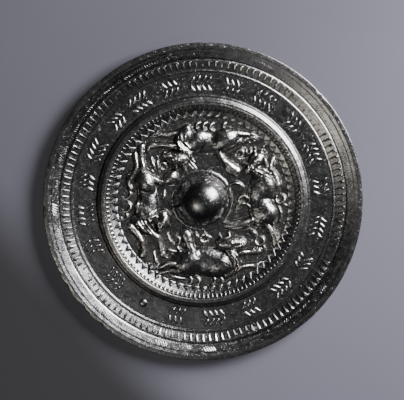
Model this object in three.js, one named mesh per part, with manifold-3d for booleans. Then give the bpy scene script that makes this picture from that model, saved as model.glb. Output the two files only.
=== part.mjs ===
// An ancient cast bronze mirror. It lies on its polished face, with the decorated back up.
// Millimetres, +Z up. The origin is the middle of the polished face.
import * as THREE from 'three';
import { mergeVertices } from 'three/addons/utils/BufferGeometryUtils.js';
import Module from 'manifold-3d';

const wasm = await Module();
wasm.setup();

// Widths of the zones of the back, from the middle outwards.
const fieldRadius = 48.6;
const innerSlopeWidth = 6.6;
const crestWidth = 1.4;
const crestGrooveWidth = 0.4;
const outerSlopeWidth = 3.0;
const inscriptionWidth = 13.4;
const ridgeLineWidth = 1.2;
const combSlopeWidth = 5.7;
const rimGrooveWidth = 1.0;
const hatchBorderWidth = 4.1;
const bevelWidth = 2.0;
const rimTopWidth = 2.6;
const faceInset = 1.2;

// Heights above the polished face.
const fieldHeight = 3.5;
const innerSlopeFoot = 3.8;
const innerSlopeTop = 6.8;
const crestHeight = 7.3;
const crestGrooveHeight = 6.7;
const outerSlopeTop = 7.0;
const inscriptionHeight = 4.0;
const ridgeLineHeight = 4.9;
const combSlopeFoot = 4.3;
const combSlopeTop = 6.5;
const rimGrooveHeight = 5.9;
const hatchBorderFoot = 6.4;
const hatchBorderTop = 7.8;
const rimHeight = 8.4;
const rimTopEdgeHeight = 8.0;

// Knob in the middle, its seat ring and the hole for the cord. The knob was cast a little off centre.
const knobRadius = 15.3;
const knobRise = 12.4;
const knobShiftX = -0.6;
const knobShiftY = 1.0;
const seatRingRadius = 17.5;
const seatRingWidth = 1.4;
const seatRingRise = 0.9;
const cordHoleWidth = 6.2;
const cordHoleHeight = 5.6;
const cordHoleSill = 0.6;
const knobFacets = 32;
const domeSteps = 7;
const archSegments = 8;

// Rings of teeth.
const discFacets = 68;
const zigzagStart = 0.3;
const zigzagLength = 3.2;
const zigzagRise = 0.7;
const combTeethPerFacet = 2;
const combToothLength = 5.0;
const combToothRise = 0.7;
const combEndGap = 0.3;

// Inscription: rows of plain slanted strokes, one group at each place, and one round dot.
const strokeLength = 4.2;
const strokeWidth = 1.5;
const strokeRise = 0.6;
const strokeSlant = 48;
const strokeColumnGap = 4.4;
const strokeRowGap = 4.6;
const strokeRows = 2;
const strokeColumns = 2;
const groupAngles = [
  7, 24, 41, 59, 76, 91, 106, 122.5, 136.5, 154,
  170, 186, 202, 221, 257, 275.5, 294, 312, 328.5, 347,
];
const dotAngle = 239.5;
const dotDiameter = 4.6;
const dotTopDiameter = 2.8;
const dotRise = 0.8;
const dotSides = 8;

// How deep each raised form reaches into the disc below it.
const rootDepth = 0.5;
const openingOverrun = 2.0;

// Zone edges, worked out from the widths.
const innerSlopeEnd = fieldRadius + innerSlopeWidth;
const crestEnd = innerSlopeEnd + crestWidth;
const crestGrooveEnd = crestEnd + crestGrooveWidth;
const outerSlopeEnd = crestGrooveEnd + outerSlopeWidth;
const inscriptionEnd = outerSlopeEnd + inscriptionWidth;
const ridgeLineEnd = inscriptionEnd + ridgeLineWidth;
const combSlopeEnd = ridgeLineEnd + combSlopeWidth;
const rimGrooveEnd = combSlopeEnd + rimGrooveWidth;
const hatchBorderEnd = rimGrooveEnd + hatchBorderWidth;
const rimRadius = hatchBorderEnd + bevelWidth;
const mirrorRadius = rimRadius + rimTopWidth;
const faceRadius = mirrorRadius - faceInset;

// The back in section, from the middle of the field to the edge of the rim.
const backProfile = [
  [0, fieldHeight],
  [fieldRadius, fieldHeight],
  [fieldRadius, innerSlopeFoot],
  [innerSlopeEnd, innerSlopeTop],
  [(innerSlopeEnd + crestEnd) / 2, crestHeight],
  [crestEnd, crestGrooveHeight],
  [crestGrooveEnd, outerSlopeTop],
  [outerSlopeEnd, inscriptionHeight],
  [inscriptionEnd, inscriptionHeight],
  [(inscriptionEnd + ridgeLineEnd) / 2, ridgeLineHeight],
  [ridgeLineEnd, combSlopeFoot],
  [combSlopeEnd, combSlopeTop],
  [(combSlopeEnd + rimGrooveEnd) / 2, rimGrooveHeight],
  [rimGrooveEnd, hatchBorderFoot],
  [hatchBorderEnd, hatchBorderTop],
  [rimRadius, rimHeight],
  [mirrorRadius, rimTopEdgeHeight],
];

// Height of the back at a distance from the axis.
function backHeight(radius) {
  for (let i = 1; i < backProfile.length; i += 1) {
    const [innerRadius, innerHeight] = backProfile[i - 1];
    const [outerRadius, outerHeight] = backProfile[i];
    if (radius < outerRadius) {
      const share = (radius - innerRadius) / (outerRadius - innerRadius);
      return innerHeight + share * (outerHeight - innerHeight);
    }
  }
  return rimTopEdgeHeight;
}

// A closed three.js geometry as a solid that can be joined and cut.
function solid(geometry) {
  const bare = new THREE.BufferGeometry();
  bare.setAttribute('position', geometry.getAttribute('position'));
  bare.setIndex(geometry.getIndex());
  const merged = mergeVertices(bare, 1e-4);
  const vertProperties = new Float32Array(merged.getAttribute('position').array);
  const triVerts = new Uint32Array(merged.getIndex().array);
  return new wasm.Manifold(new wasm.Mesh({ numProp: 3, vertProperties, triVerts }));
}

// Turns a section of radius and height about the Z axis.
function turned(profile, segments) {
  const points = profile.map(([radius, height]) => new THREE.Vector2(radius, height));
  return new THREE.LatheGeometry(points, segments).rotateX(Math.PI / 2);
}

// One ring of the disc's surface. A toothed ring lifts every second vertex by the tooth's rise.
// A turn of a half puts its vertices at the middles of the sides.
function ring(radius, height, sides = discFacets, toothRise = 0, turn = 0) {
  return { radius, height, sides, toothRise, turn };
}

// The rings from the middle of the field out to the rim, and down the wall that leans in to the face.
function discRings() {
  const zigzagFoot = fieldRadius + zigzagStart;
  const zigzagTip = zigzagFoot + zigzagLength;
  const combEnd = combSlopeEnd - combEndGap;
  const combTip = combEnd - combToothLength;
  const combTeeth = discFacets * combTeethPerFacet;
  const toothed = [
    ring(zigzagFoot, backHeight(zigzagFoot), discFacets * 2, zigzagRise),
    ring(zigzagTip, backHeight(zigzagTip), discFacets, 0, 0.5),
    ring(combTip, backHeight(combTip), combTeeth, 0, 0.5),
    ring(combEnd, backHeight(combEnd), combTeeth * 2, combToothRise),
  ];
  const plain = backProfile.slice(1).filter(([radius]) => radius !== combSlopeEnd);
  const rings = [...plain.map(([radius, height]) => ring(radius, height)), ...toothed];
  rings.sort((one, other) => one.radius - other.radius || one.height - other.height);
  rings.push(ring(faceRadius, 0));
  return rings;
}

// Joins two rings with a band of triangles, going round both in step.
function bandTriangles(inner, outer) {
  const triangles = [];
  const angleOf = (one, index) => (index + one.turn) / one.sides;
  let innerIndex = 0;
  let outerIndex = 0;
  while (innerIndex < inner.sides || outerIndex < outer.sides) {
    const innerHere = inner.first + innerIndex % inner.sides;
    const outerHere = outer.first + outerIndex % outer.sides;
    const innerLeads = angleOf(inner, innerIndex + 1) < angleOf(outer, outerIndex + 1);
    if (innerIndex < inner.sides && (outerIndex >= outer.sides || innerLeads)) {
      triangles.push(innerHere, outerHere, inner.first + (innerIndex + 1) % inner.sides);
      innerIndex += 1;
    } else {
      triangles.push(innerHere, outerHere, outer.first + (outerIndex + 1) % outer.sides);
      outerIndex += 1;
    }
  }
  return triangles;
}

// The disc with its ring mouldings and both rings of teeth.
function discSolid() {
  const rings = discRings();
  const positions = [0, 0, fieldHeight];
  rings.forEach((one) => {
    one.first = positions.length / 3;
    for (let index = 0; index < one.sides; index += 1) {
      const angle = 2 * Math.PI * (index + one.turn) / one.sides;
      const lift = index % 2 === 1 ? one.toothRise : 0;
      positions.push(one.radius * Math.cos(angle), one.radius * Math.sin(angle), one.height + lift);
    }
  });
  const underside = positions.length / 3;
  positions.push(0, 0, 0);
  const indices = [];
  const middle = rings[0];
  const edge = rings[rings.length - 1];
  for (let index = 0; index < discFacets; index += 1) {
    const next = (index + 1) % discFacets;
    indices.push(0, middle.first + index, middle.first + next);
    indices.push(underside, edge.first + next, edge.first + index);
  }
  for (let index = 1; index < rings.length; index += 1) {
    indices.push(...bandTriangles(rings[index - 1], rings[index]));
  }
  const geometry = new THREE.BufferGeometry();
  geometry.setAttribute('position', new THREE.Float32BufferAttribute(positions, 3));
  geometry.setIndex(indices);
  return solid(geometry);
}

// A long raised form with its crest along a route. Each station holds x, y, half width and rise.
// The section runs over the crest from the left foot to the right, in shares of half width and rise.
const roundSection = [[1, 0], [0.74, 0.66], [0, 1], [-0.74, 0.66], [-1, 0]];
const roofSection = [[1, 0], [0, 1], [-1, 0]];

function raisedForm(stations, section) {
  const sides = section.length;
  const positions = [];
  const indices = [];
  stations.forEach(([x, y, halfWidth, rise], index) => {
    const [backX, backY] = stations[Math.max(index - 1, 0)];
    const [aheadX, aheadY] = stations[Math.min(index + 1, stations.length - 1)];
    const along = new THREE.Vector2(aheadX - backX, aheadY - backY).normalize();
    const ground = backHeight(Math.hypot(x, y));
    section.forEach(([across, up]) => {
      const foot = up === 0 ? -rootDepth : up * rise;
      positions.push(x - along.y * across * halfWidth, y + along.x * across * halfWidth, ground + foot);
    });
  });
  for (let station = 0; station + 1 < stations.length; station += 1) {
    for (let side = 0; side < sides; side += 1) {
      const here = station * sides + side;
      const next = station * sides + (side + 1) % sides;
      indices.push(here, next, next + sides, here, next + sides, here + sides);
    }
  }
  const last = (stations.length - 1) * sides;
  for (let side = 1; side + 1 < sides; side += 1) {
    indices.push(0, side + 1, side);
    indices.push(last, last + side, last + side + 1);
  }
  const geometry = new THREE.BufferGeometry();
  geometry.setAttribute('position', new THREE.Float32BufferAttribute(positions, 3));
  geometry.setIndex(indices);
  return solid(geometry);
}

// Beasts. Their places are hundredths of the field's radius: along the run, and out from the middle.
// Each form is a list of stations: along, out, half width and rise.
const northBeast = {
  torso: [[-39, 74, 6, 5], [-28, 73, 10, 7], [-12, 69, 12, 7], [2, 69, 13, 8], [16, 72, 11, 7], [25, 75, 7, 5]],
  neck: [[26, 77, 4, 5], [27, 70, 6, 7], [24, 63, 6, 8], [17, 57, 6, 7]],
  head: [[21, 51, 6, 7], [29, 50, 9, 9], [36, 52, 7, 8], [43, 56, 4, 5]],
  upperForeleg: [[32, 65, 4, 5], [40, 66, 3, 6], [49, 67, 3, 4], [59, 66, 4, 4]],
  lowerForeleg: [[18, 86, 4, 6], [27, 82, 3, 4], [39, 79, 3, 5], [49, 79, 3, 4], [59, 80, 4, 4]],
  upperHindLeg: [[-29, 68, 5, 5], [-37, 69, 3, 5], [-48, 72, 3, 4], [-57, 75, 3, 3]],
  lowerHindLeg: [[-35, 79, 6, 6], [-44, 79, 4, 5], [-54, 78, 3, 3], [-64, 79, 4, 3]],
  tail: [[-18, 59, 4, 5], [-25, 52, 5, 5], [-28, 43, 4, 5], [-32, 35, 3, 3]],
  ears: [[[24, 45, 2, 7], [20, 37, 1, 3]], [[31, 43, 2, 7], [31, 35, 1, 3]]],
};
const westBeast = {
  torso: [[-33, 68, 6, 5], [-25, 67, 10, 8], [-12, 65, 9, 7], [2, 64, 10, 7], [11, 66, 10, 7], [18, 68, 6, 5]],
  neck: [[18, 71, 4, 5], [20, 65, 5, 7], [17, 59, 5, 7], [18, 53, 5, 6]],
  head: [[15, 46, 6, 7], [21, 46, 8, 9], [28, 48, 5, 7], [33, 50, 3, 5]],
  upperForeleg: [[34, 61, 4, 5], [40, 53, 3, 6], [50, 49, 3, 4], [61, 47, 4, 4]],
  lowerForeleg: [[28, 84, 4, 5], [36, 77, 4, 5], [44, 71, 3, 6], [52, 69, 3, 4], [61, 70, 4, 4]],
  upperHindLeg: [[-32, 73, 5, 5], [-41, 69, 3, 6], [-50, 71, 3, 4], [-65, 71, 4, 4]],
  lowerHindLeg: [[-16, 83, 3, 4], [-25, 85, 4, 5], [-40, 77, 3, 5], [-56, 79, 3, 3]],
  tail: [[-28, 58, 4, 5], [-25, 48, 4, 5], [-27, 38, 4, 5], [-32, 32, 3, 3]],
  ears: [[[25, 44, 2, 6], [27, 38, 1, 3]], [[29, 50, 2, 5], [29, 43, 1, 3]]],
};
const southBeast = {
  torso: [[-28, 69, 7, 4], [-19, 71, 13, 7], [-4, 69, 13, 8], [10, 70, 13, 8], [23, 74, 11, 7], [32, 76, 7, 5]],
  neck: [[36, 81, 4, 5], [37, 74, 5, 7], [36, 66, 6, 8], [32, 59, 7, 7]],
  head: [[22, 49, 7, 7], [30, 49, 9, 9], [38, 48, 7, 9], [46, 48, 5, 7]],
  upperForeleg: [[39, 62, 4, 5], [45, 59, 3, 6], [55, 59, 3, 4], [65, 58, 4, 4]],
  lowerForeleg: [[27, 86, 4, 5], [38, 80, 4, 5], [46, 76, 3, 6], [56, 75, 3, 4], [66, 75, 4, 4]],
  upperHindLeg: [[-25, 77, 5, 5], [-38, 71, 3, 6], [-49, 76, 3, 3], [-61, 77, 4, 3]],
  lowerHindLeg: [[-19, 84, 4, 4], [-35, 80, 3, 5], [-51, 83, 2, 3], [-60, 84, 3, 3]],
  tail: [[-11, 59, 4, 5], [-17, 49, 4, 5], [-15, 41, 3, 4], [-18, 35, 2, 3]],
  ears: [[[24, 48, 2, 7], [19, 38, 1, 3]], [[31, 43, 2, 6], [30, 35, 1, 3]]],
};
const eastBeast = {
  torso: [[-24, 66, 7, 5], [-11, 69, 13, 8], [2, 65, 12, 7], [14, 67, 12, 8], [25, 70, 11, 8], [31, 70, 7, 6]],
  neck: [[32, 77, 4, 5], [36, 71, 5, 7], [38, 64, 6, 8], [40, 59, 6, 7]],
  head: [[55, 66, 5, 6], [49, 63, 8, 9], [42, 58, 7, 8], [36, 52, 4, 6]],
  upperForeleg: [[32, 76, 3, 5], [39, 74, 3, 5], [48, 72, 3, 5], [57, 68, 3, 4]],
  lowerForeleg: [[20, 87, 4, 5], [29, 84, 4, 5], [41, 78, 3, 6], [50, 81, 4, 4]],
  upperHindLeg: [[-24, 72, 4, 5], [-33, 79, 3, 5], [-43, 82, 2, 4], [-53, 84, 3, 3]],
  lowerHindLeg: [[-10, 79, 7, 7], [-19, 83, 5, 6], [-33, 83, 3, 5], [-46, 87, 3, 4], [-57, 85, 4, 3]],
  tail: [[-21, 58, 4, 5], [-26, 49, 4, 5], [-27, 40, 4, 5], [-27, 32, 3, 3]],
  ears: [[[55, 60, 2, 6], [63, 60, 1, 3]], [[44, 53, 2, 6], [46, 46, 1, 3]]],
};

// Directions of the four beasts from the middle of the field, in degrees.
const beasts = [[90, northBeast], [180, westBeast], [270, southBeast], [0, eastBeast]];

// Clouds between the beasts: direction of their quarter, along, out, radius, start, sweep and rise.
const clouds = [
  [90, -12, 87, 4, -100, 190, 3],
  [90, -4, 88, 4, -100, 190, 3],
  [90, 4, 88, 4, -100, 190, 3],
  [90, -43, 57, 4, 0, 300, 4],
  [180, -42, 46, 4, 0, 300, 4],
  [180, -10, 90, 6, -160, 200, 3],
  [180, 5, 90, 6, -160, 200, 3],
  [180, -32, 86, 6, -160, 200, 3],
  [270, -17, 92, 4, -100, 190, 3],
  [270, -9, 93, 5, -100, 190, 3],
  [270, 8, 92, 6, -100, 190, 3],
  [270, 18, 93, 5, -100, 190, 3],
  [270, -35, 45, 8, -60, 130, 4],
  [0, -11, 47, 9, -100, 200, 4],
  [0, 1, 47, 6, -100, 200, 4],
  [0, 12, 38, 10, -90, 150, 4],
  [0, 3, 90, 5, 0, 300, 4],
  [0, -46, 66, 5, 0, 300, 4],
];
const cloudHalfWidth = 1.7;
const cloudSteps = 5;

// Turns a place along and out, in hundredths of the field, to x and y on the disc.
function fieldPlace(direction, along, out) {
  const angle = THREE.MathUtils.degToRad(direction);
  const unit = fieldRadius / 100;
  const x = (out * Math.cos(angle) - along * Math.sin(angle)) * unit;
  const y = (out * Math.sin(angle) + along * Math.cos(angle)) * unit;
  return [x, y];
}

// One beast: torso, neck, head, ears, four legs and a tail.
function beastSolids(direction, beast) {
  const unit = fieldRadius / 100;
  const route = (stations) => stations.map(([along, out, halfWidth, rise]) => (
    [...fieldPlace(direction, along, out), halfWidth * unit, rise * unit]
  ));
  const { ears, ...roundForms } = beast;
  const forms = Object.values(roundForms).map((stations) => raisedForm(route(stations), roundSection));
  return [...forms, ...ears.map((stations) => raisedForm(route(stations), roofSection))];
}

// One cloud: a curled ridge that tapers to its ends.
function cloudSolid([direction, along, out, radius, start, sweep, rise]) {
  const unit = fieldRadius / 100;
  const stations = [];
  for (let step = 0; step <= cloudSteps; step += 1) {
    const share = step / cloudSteps;
    const angle = THREE.MathUtils.degToRad(start + share * sweep);
    const place = fieldPlace(direction, along + radius * Math.cos(angle), out + radius * Math.sin(angle));
    const taper = 0.5 + 0.5 * Math.sin(share * Math.PI);
    stations.push([...place, cloudHalfWidth * unit * taper, rise * unit * taper]);
  }
  return raisedForm(stations, roofSection);
}

// A stroke: a three-sided bar, flat side down, lying along X about the origin.
function strokeBar() {
  const flatSide = -0.5;
  const sectionHeight = 1.5;
  const geometry = new THREE.CylinderGeometry(1, 1, strokeLength, 3);
  geometry.rotateZ(-Math.PI / 2);
  geometry.rotateX(Math.PI);
  geometry.translate(0, 0, -flatSide);
  geometry.scale(1, strokeWidth / Math.sqrt(3), (strokeRise + rootDepth) / sectionHeight);
  geometry.translate(0, 0, -rootDepth);
  return geometry;
}

// Sets a form on the back at a radius and angle, turned to a heading from straight outwards.
function setOnBack(geometry, radius, angleDegrees, headingDegrees) {
  geometry.rotateZ(THREE.MathUtils.degToRad(headingDegrees));
  geometry.translate(radius, 0, backHeight(radius));
  geometry.rotateZ(THREE.MathUtils.degToRad(angleDegrees));
  return solid(geometry);
}

// Inscription band: a group of slanted strokes at each place, rows leaning opposite ways.
function inscriptionSolids() {
  const bandMiddle = outerSlopeEnd + inscriptionWidth / 2;
  const solids = [];
  groupAngles.forEach((groupAngle) => {
    for (let row = 0; row < strokeRows; row += 1) {
      const radius = bandMiddle + (row - (strokeRows - 1) / 2) * strokeRowGap;
      const lean = row % 2 === 0 ? strokeSlant : -strokeSlant;
      for (let column = 0; column < strokeColumns; column += 1) {
        const shift = (column - (strokeColumns - 1) / 2) * strokeColumnGap;
        const angle = groupAngle + THREE.MathUtils.radToDeg(shift / radius);
        solids.push(setOnBack(strokeBar(), radius, angle, 90 + lean));
      }
    }
  });
  const dotHeight = dotRise + rootDepth;
  const dot = new THREE.CylinderGeometry(dotTopDiameter / 2, dotDiameter / 2, dotHeight, dotSides);
  dot.rotateX(Math.PI / 2);
  dot.translate(0, 0, (dotRise - rootDepth) / 2);
  solids.push(setOnBack(dot, bandMiddle, dotAngle, 0));
  return solids;
}

// Knob: a low dome on a narrow seat ring, with an arched hole for the cord.
function knobSolids() {
  const domeRadius = (knobRadius ** 2 + knobRise ** 2) / (2 * knobRise);
  const domeProfile = [[0, fieldHeight - rootDepth], [knobRadius, fieldHeight - rootDepth]];
  const edgeAngle = Math.asin(Math.min(1, knobRadius / domeRadius));
  const sweep = knobRise > knobRadius ? Math.PI - edgeAngle : edgeAngle;
  for (let step = 0; step < domeSteps; step += 1) {
    const angle = sweep * (1 - step / domeSteps);
    const height = fieldHeight + knobRise - domeRadius * (1 - Math.cos(angle));
    domeProfile.push([domeRadius * Math.sin(angle), height]);
  }
  domeProfile.push([0, fieldHeight + knobRise]);
  const seatProfile = [
    [0, fieldHeight - rootDepth],
    [seatRingRadius, fieldHeight - rootDepth],
    [seatRingRadius, fieldHeight + seatRingRise / 2],
    [seatRingRadius - seatRingWidth / 2, fieldHeight + seatRingRise],
    [seatRingRadius - seatRingWidth, fieldHeight + seatRingRise / 3],
    [0, fieldHeight + seatRingRise / 3],
  ];
  return [turned(domeProfile, knobFacets), turned(seatProfile, knobFacets)].map((geometry) => {
    geometry.translate(knobShiftX, knobShiftY, 0);
    return solid(geometry);
  });
}

// The arched passage for the cord, along X.
function cordHoleSolid() {
  const sill = fieldHeight + cordHoleSill;
  const springing = cordHoleHeight - cordHoleWidth / 2;
  const halfWidth = cordHoleWidth / 2;
  const arch = new THREE.Shape();
  arch.moveTo(-halfWidth, 0);
  arch.lineTo(halfWidth, 0);
  arch.lineTo(halfWidth, springing);
  arch.absarc(0, springing, halfWidth, 0, Math.PI, false);
  arch.lineTo(-halfWidth, 0);
  const length = 2 * (seatRingRadius + openingOverrun);
  const settings = { depth: length, bevelEnabled: false, curveSegments: archSegments };
  const geometry = new THREE.ExtrudeGeometry(arch, settings);
  geometry.translate(0, 0, -length / 2);
  geometry.rotateX(Math.PI / 2);
  geometry.rotateZ(Math.PI / 2);
  geometry.translate(knobShiftX, knobShiftY, sill);
  return solid(geometry);
}

// Everything is one casting.
function castingGeometry() {
  const beastForms = beasts.flatMap(([direction, beast]) => beastSolids(direction, beast));
  const raised = [
    ...inscriptionSolids(),
    ...beastForms,
    ...clouds.map(cloudSolid),
    ...knobSolids(),
  ];
  const whole = raised.reduce((joined, form) => joined.add(form), discSolid());
  const mesh = whole.subtract(cordHoleSolid()).getMesh();
  const geometry = new THREE.BufferGeometry();
  geometry.setAttribute('position', new THREE.BufferAttribute(new Float32Array(mesh.vertProperties), 3));
  geometry.setIndex(new THREE.BufferAttribute(new Uint32Array(mesh.triVerts), 1));
  geometry.computeVertexNormals();
  return geometry;
}

const darkBronze = new THREE.MeshStandardMaterial({ color: 0x34322f, roughness: 0.38, metalness: 0.9 });
const mirror = new THREE.Mesh(castingGeometry(), darkBronze);
mirror.name = 'bronze_mirror';

const part = new THREE.Group();
part.add(mirror);

export default part;
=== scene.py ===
"""Ancient bronze mirror, lying on its polished face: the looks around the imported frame.

Everything is in metres, in the frame's own axes. The figures on the back are laid out in
hundredths of the field's radius, as (along, out): along the beast's run, and out from the middle.
"""

import math

import bpy
import numpy as np
from bpy.props import FloatProperty, FloatVectorProperty, IntProperty, PointerProperty
from bpy.types import Operator, Panel, PropertyGroup
from mathutils import Matrix, Vector


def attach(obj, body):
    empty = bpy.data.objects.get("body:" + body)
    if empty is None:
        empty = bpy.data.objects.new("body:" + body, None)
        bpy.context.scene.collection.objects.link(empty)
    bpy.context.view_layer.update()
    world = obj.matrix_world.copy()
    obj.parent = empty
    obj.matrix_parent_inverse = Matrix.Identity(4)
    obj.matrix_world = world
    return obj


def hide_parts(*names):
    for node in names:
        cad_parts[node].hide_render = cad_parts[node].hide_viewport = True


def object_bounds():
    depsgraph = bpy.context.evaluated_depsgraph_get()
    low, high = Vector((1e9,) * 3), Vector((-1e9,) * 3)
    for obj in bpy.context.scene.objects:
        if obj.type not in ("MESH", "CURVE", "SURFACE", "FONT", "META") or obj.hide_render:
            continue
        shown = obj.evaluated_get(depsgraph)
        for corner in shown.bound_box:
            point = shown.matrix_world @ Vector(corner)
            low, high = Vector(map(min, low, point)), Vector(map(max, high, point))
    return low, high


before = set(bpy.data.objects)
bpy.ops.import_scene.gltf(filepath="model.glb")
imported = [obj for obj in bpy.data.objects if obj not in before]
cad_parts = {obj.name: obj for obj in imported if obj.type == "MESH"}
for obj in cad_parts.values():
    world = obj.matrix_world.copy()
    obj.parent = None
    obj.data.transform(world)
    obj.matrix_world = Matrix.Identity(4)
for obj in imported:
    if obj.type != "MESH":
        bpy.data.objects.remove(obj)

bl_info = {
    "name": "Ancient bronze mirror",
    "version": (1, 0, 0),
    "blender": (4, 5, 0),
    "location": "3D View > Sidebar > Mirror",
    "description": "Builds a cast bronze mirror with its relief back up, and its studio",
    "category": "Object",
}

MM = 0.001
NODE = "bronze_mirror"
BODY = "root"
CAD_LOW, CAD_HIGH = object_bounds()
MIRROR_RADIUS = (CAD_HIGH.x - CAD_LOW.x) / 2
KNOB_TOP = CAD_HIGH.z

# Keeps two corners of a section apart where the wall between them is nearly upright
SLIVER = 0.05 * MM

# The rings that close a piece underneath, inside the casting
BURIED_HEIGHT = 0.4 * MM
BURIED_POINTS = 96

# Unevenness of the casting: size of the swells and their height, in millimetres
UNEVENNESS = ((7, 0.20), (2.2, 0.08), (0.9, 0.03))

# Painted shade on the floor: towards 130 degrees a painted falloff of light, towards 222 degrees a painted
# shadow of the mirror. Each gives direction in degrees, start and end in metres, share of the tone that is
# left
FLOOR_PAINTED_SHADES = ((130, -0.10, 0.11, 0.62), (222, 0.07, 0.112, 0.05))
# Painted light: the floor glows faintly with light of its own, which lifts the shadows on it
FLOOR_GLOW_COLOUR = (0.95, 0.93, 1.0, 1.0)


# Sizes and colours that a user would change

def length(name, millimetres, description):
    """A length property whose default is given in millimetres."""
    return FloatProperty(
        name=name, default=millimetres * MM, description=description,
        subtype="DISTANCE", unit="LENGTH", precision=5,
    )


def tone(name, colour, description):
    """A colour property."""
    return FloatVectorProperty(
        name=name, default=colour, description=description,
        subtype="COLOR", size=3, min=0.0, max=1.0,
    )


class MirrorSectionSizes(PropertyGroup):
    field_radius: length("Field radius", 48.6, "Flat field that holds the beasts")
    inner_slope_width: length("Inner slope width", 6.6, "Slope up from the field")
    crest_width: length("Crest width", 1.4, "Rounded crest round the field")
    crest_groove_width: length("Crest groove width", 0.4, "Groove behind the crest")
    outer_slope_width: length("Outer slope width", 3.0, "Slope down to the stroke band")
    band_width: length("Band width", 13.4, "Flat band of strokes")
    ridge_line_width: length("Ridge line width", 1.2, "Thin ridge round the band")
    comb_slope_width: length("Comb slope width", 5.7, "Slope that holds the comb teeth")
    rim_groove_width: length("Rim groove width", 1.0, "Groove inside the hatched border")
    border_width: length("Border width", 4.1, "Hatched border")
    bevel_width: length("Bevel width", 2.0, "Plain bevel up to the rim")
    field_height: length("Field height", 3.5, "Field above the polished face")
    slope_foot: length("Slope foot", 3.3, "Foot of the inner slope, between the zigzag teeth")
    slope_bend: length("Slope bend", 4.55, "Where the inner slope steepens, at the fine bars")
    slope_top: length("Slope top", 6.8, "Top of the inner slope")
    crest_height: length("Crest height", 7.1, "Crest round the field")
    band_height: length("Band height", 4.0, "Floor of the stroke band")
    ridge_line_height: length("Ridge line height", 4.9, "Top of the thin ridge")
    comb_foot: length("Comb foot", 4.3, "Inner end of the comb slope")
    comb_top: length("Comb top", 6.5, "Outer end of the comb slope")
    rim_groove_height: length("Rim groove height", 5.9, "Bottom of the rim groove")
    border_foot: length("Border foot", 6.4, "Inner edge of the hatched border")
    border_top: length("Border top", 8.0, "Outer edge of the hatched border")
    rim_height: length("Rim height", 8.7, "Top of the rim")
    rim_top_edge: length("Rim top edge", 8.5, "Outer edge of the rim's plain top")
    face_inset: length("Face inset", 1.2, "How far the wall leans in to the polished face")
    knob_radius: length("Knob radius", 15.3, "Foot of the cord knob")
    knob_shift_x: length("Knob shift X", -0.6, "The knob was cast a little off centre")
    knob_shift_y: length("Knob shift Y", 1.0, "The knob was cast a little off centre")
    seat_ring_radius: length("Seat ring radius", 17.5, "Outer edge of the ring round the knob")
    seat_ring_width: length("Seat ring width", 1.4, "Width of the ring round the knob")
    seat_ring_rise: length("Seat ring rise", 0.9, "Height of the ring above the field")
    cord_hole_width: length("Cord hole width", 6.2, "Arched hole through the knob")
    cord_hole_height: length("Cord hole height", 5.6, "Arched hole through the knob")
    cord_hole_sill: length("Cord hole sill", 0.6, "Floor of the hole above the field")


class MirrorPatternSizes(PropertyGroup):
    zigzag_count: IntProperty(name="Zigzag teeth", default=68, min=8, description="Raised triangles")
    zigzag_length: length("Zigzag length", 3.2, "Foot to point of a raised triangle")
    zigzag_rise: length("Zigzag rise", 0.35, "Height of a raised triangle")
    comb_count: IntProperty(name="Comb teeth", default=136, min=8, description="Long comb teeth")
    comb_length: length("Comb tooth length", 5.0, "Long tooth, point inwards")
    comb_rise: length("Comb tooth rise", 0.75, "Height of a long tooth")
    bar_count: IntProperty(name="Fine bars", default=136, min=8, description="Fine bars below the crest")
    bar_length: length("Fine bar length", 2.5, "Fine bar below the crest")
    bar_rise: length("Fine bar rise", 0.5, "Height of a fine bar")
    hatch_count: IntProperty(name="Hatch fans", default=38, min=4, description="Pairs of hatched fans")
    hatch_rise: length("Hatch rise", 0.34, "Height of a hatched stroke")
    stroke_rise: length("Stroke rise", 0.65, "Height of the strokes on the band")
    seed: IntProperty(name="Seed", default=7, description="Seed of the castings' small differences")


class MirrorFinish(PropertyGroup):
    bronze: tone("Bronze", (0.115, 0.115, 0.121), "Dark silvery bronze")
    worn: tone("Worn bronze", (0.46, 0.45, 0.43), "High points rubbed bright")
    # Dark film colour: partly real patina in the hollows and partly painted shade in recesses, creases, on
    # the crest and on the rim top
    film_and_shade: tone("Hollow film", (0.040, 0.038, 0.036), "Dark brown film in the hollows")
    earth: tone("Earth", (0.23, 0.21, 0.15), "Pale earth caught in pits")
    green: tone("Green spots", (0.10, 0.16, 0.10), "Small spots of green corrosion")
    polished: tone("Polished", (0.40, 0.38, 0.33), "Clear parts of the polished face")
    clouded: tone("Clouded", (0.20, 0.20, 0.17), "Filmed parts of the polished face")
    roughness: FloatProperty(
        name="Roughness", default=0.235, min=0.05, max=1.0, description="Of the dark bronze"
    )
    handled_roughness: FloatProperty(
        name="Handled roughness", default=0.22, min=0.05, max=1.0, description="Of the knob"
    )


class MirrorStudio(PropertyGroup):
    floor: tone("Floor", (0.0568, 0.0568, 0.0755), "Plain pale floor")
    # Painted light: strength of the floor's own glow, which lifts its shadows
    glow: FloatProperty(name="Floor glow", default=0.027, description="Light that stays in shadows")
    lens_distance: FloatProperty(
        name="Camera distance", default=1.25, unit="LENGTH", description="Camera to mirror"
    )
    camera_tilt: FloatProperty(
        name="Camera tilt", default=math.radians(8.0), unit="ROTATION",
        description="How far the camera leans from straight above",
    )
    camera_side: FloatProperty(
        name="Camera side", default=math.radians(115.0), unit="ROTATION",
        description="Direction that the camera leans to",
    )
    key_power: FloatProperty(name="Key light", default=32.0, description="Watts of the key light")
    fill_power: FloatProperty(name="Warm light", default=0.85, description="Watts of the warm light")
    soft_power: FloatProperty(name="Soft light", default=0.16, description="Watts of the near light")
    sky: FloatProperty(name="Sky", default=0.038, description="Strength of the even light")


# Section of the back

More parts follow.
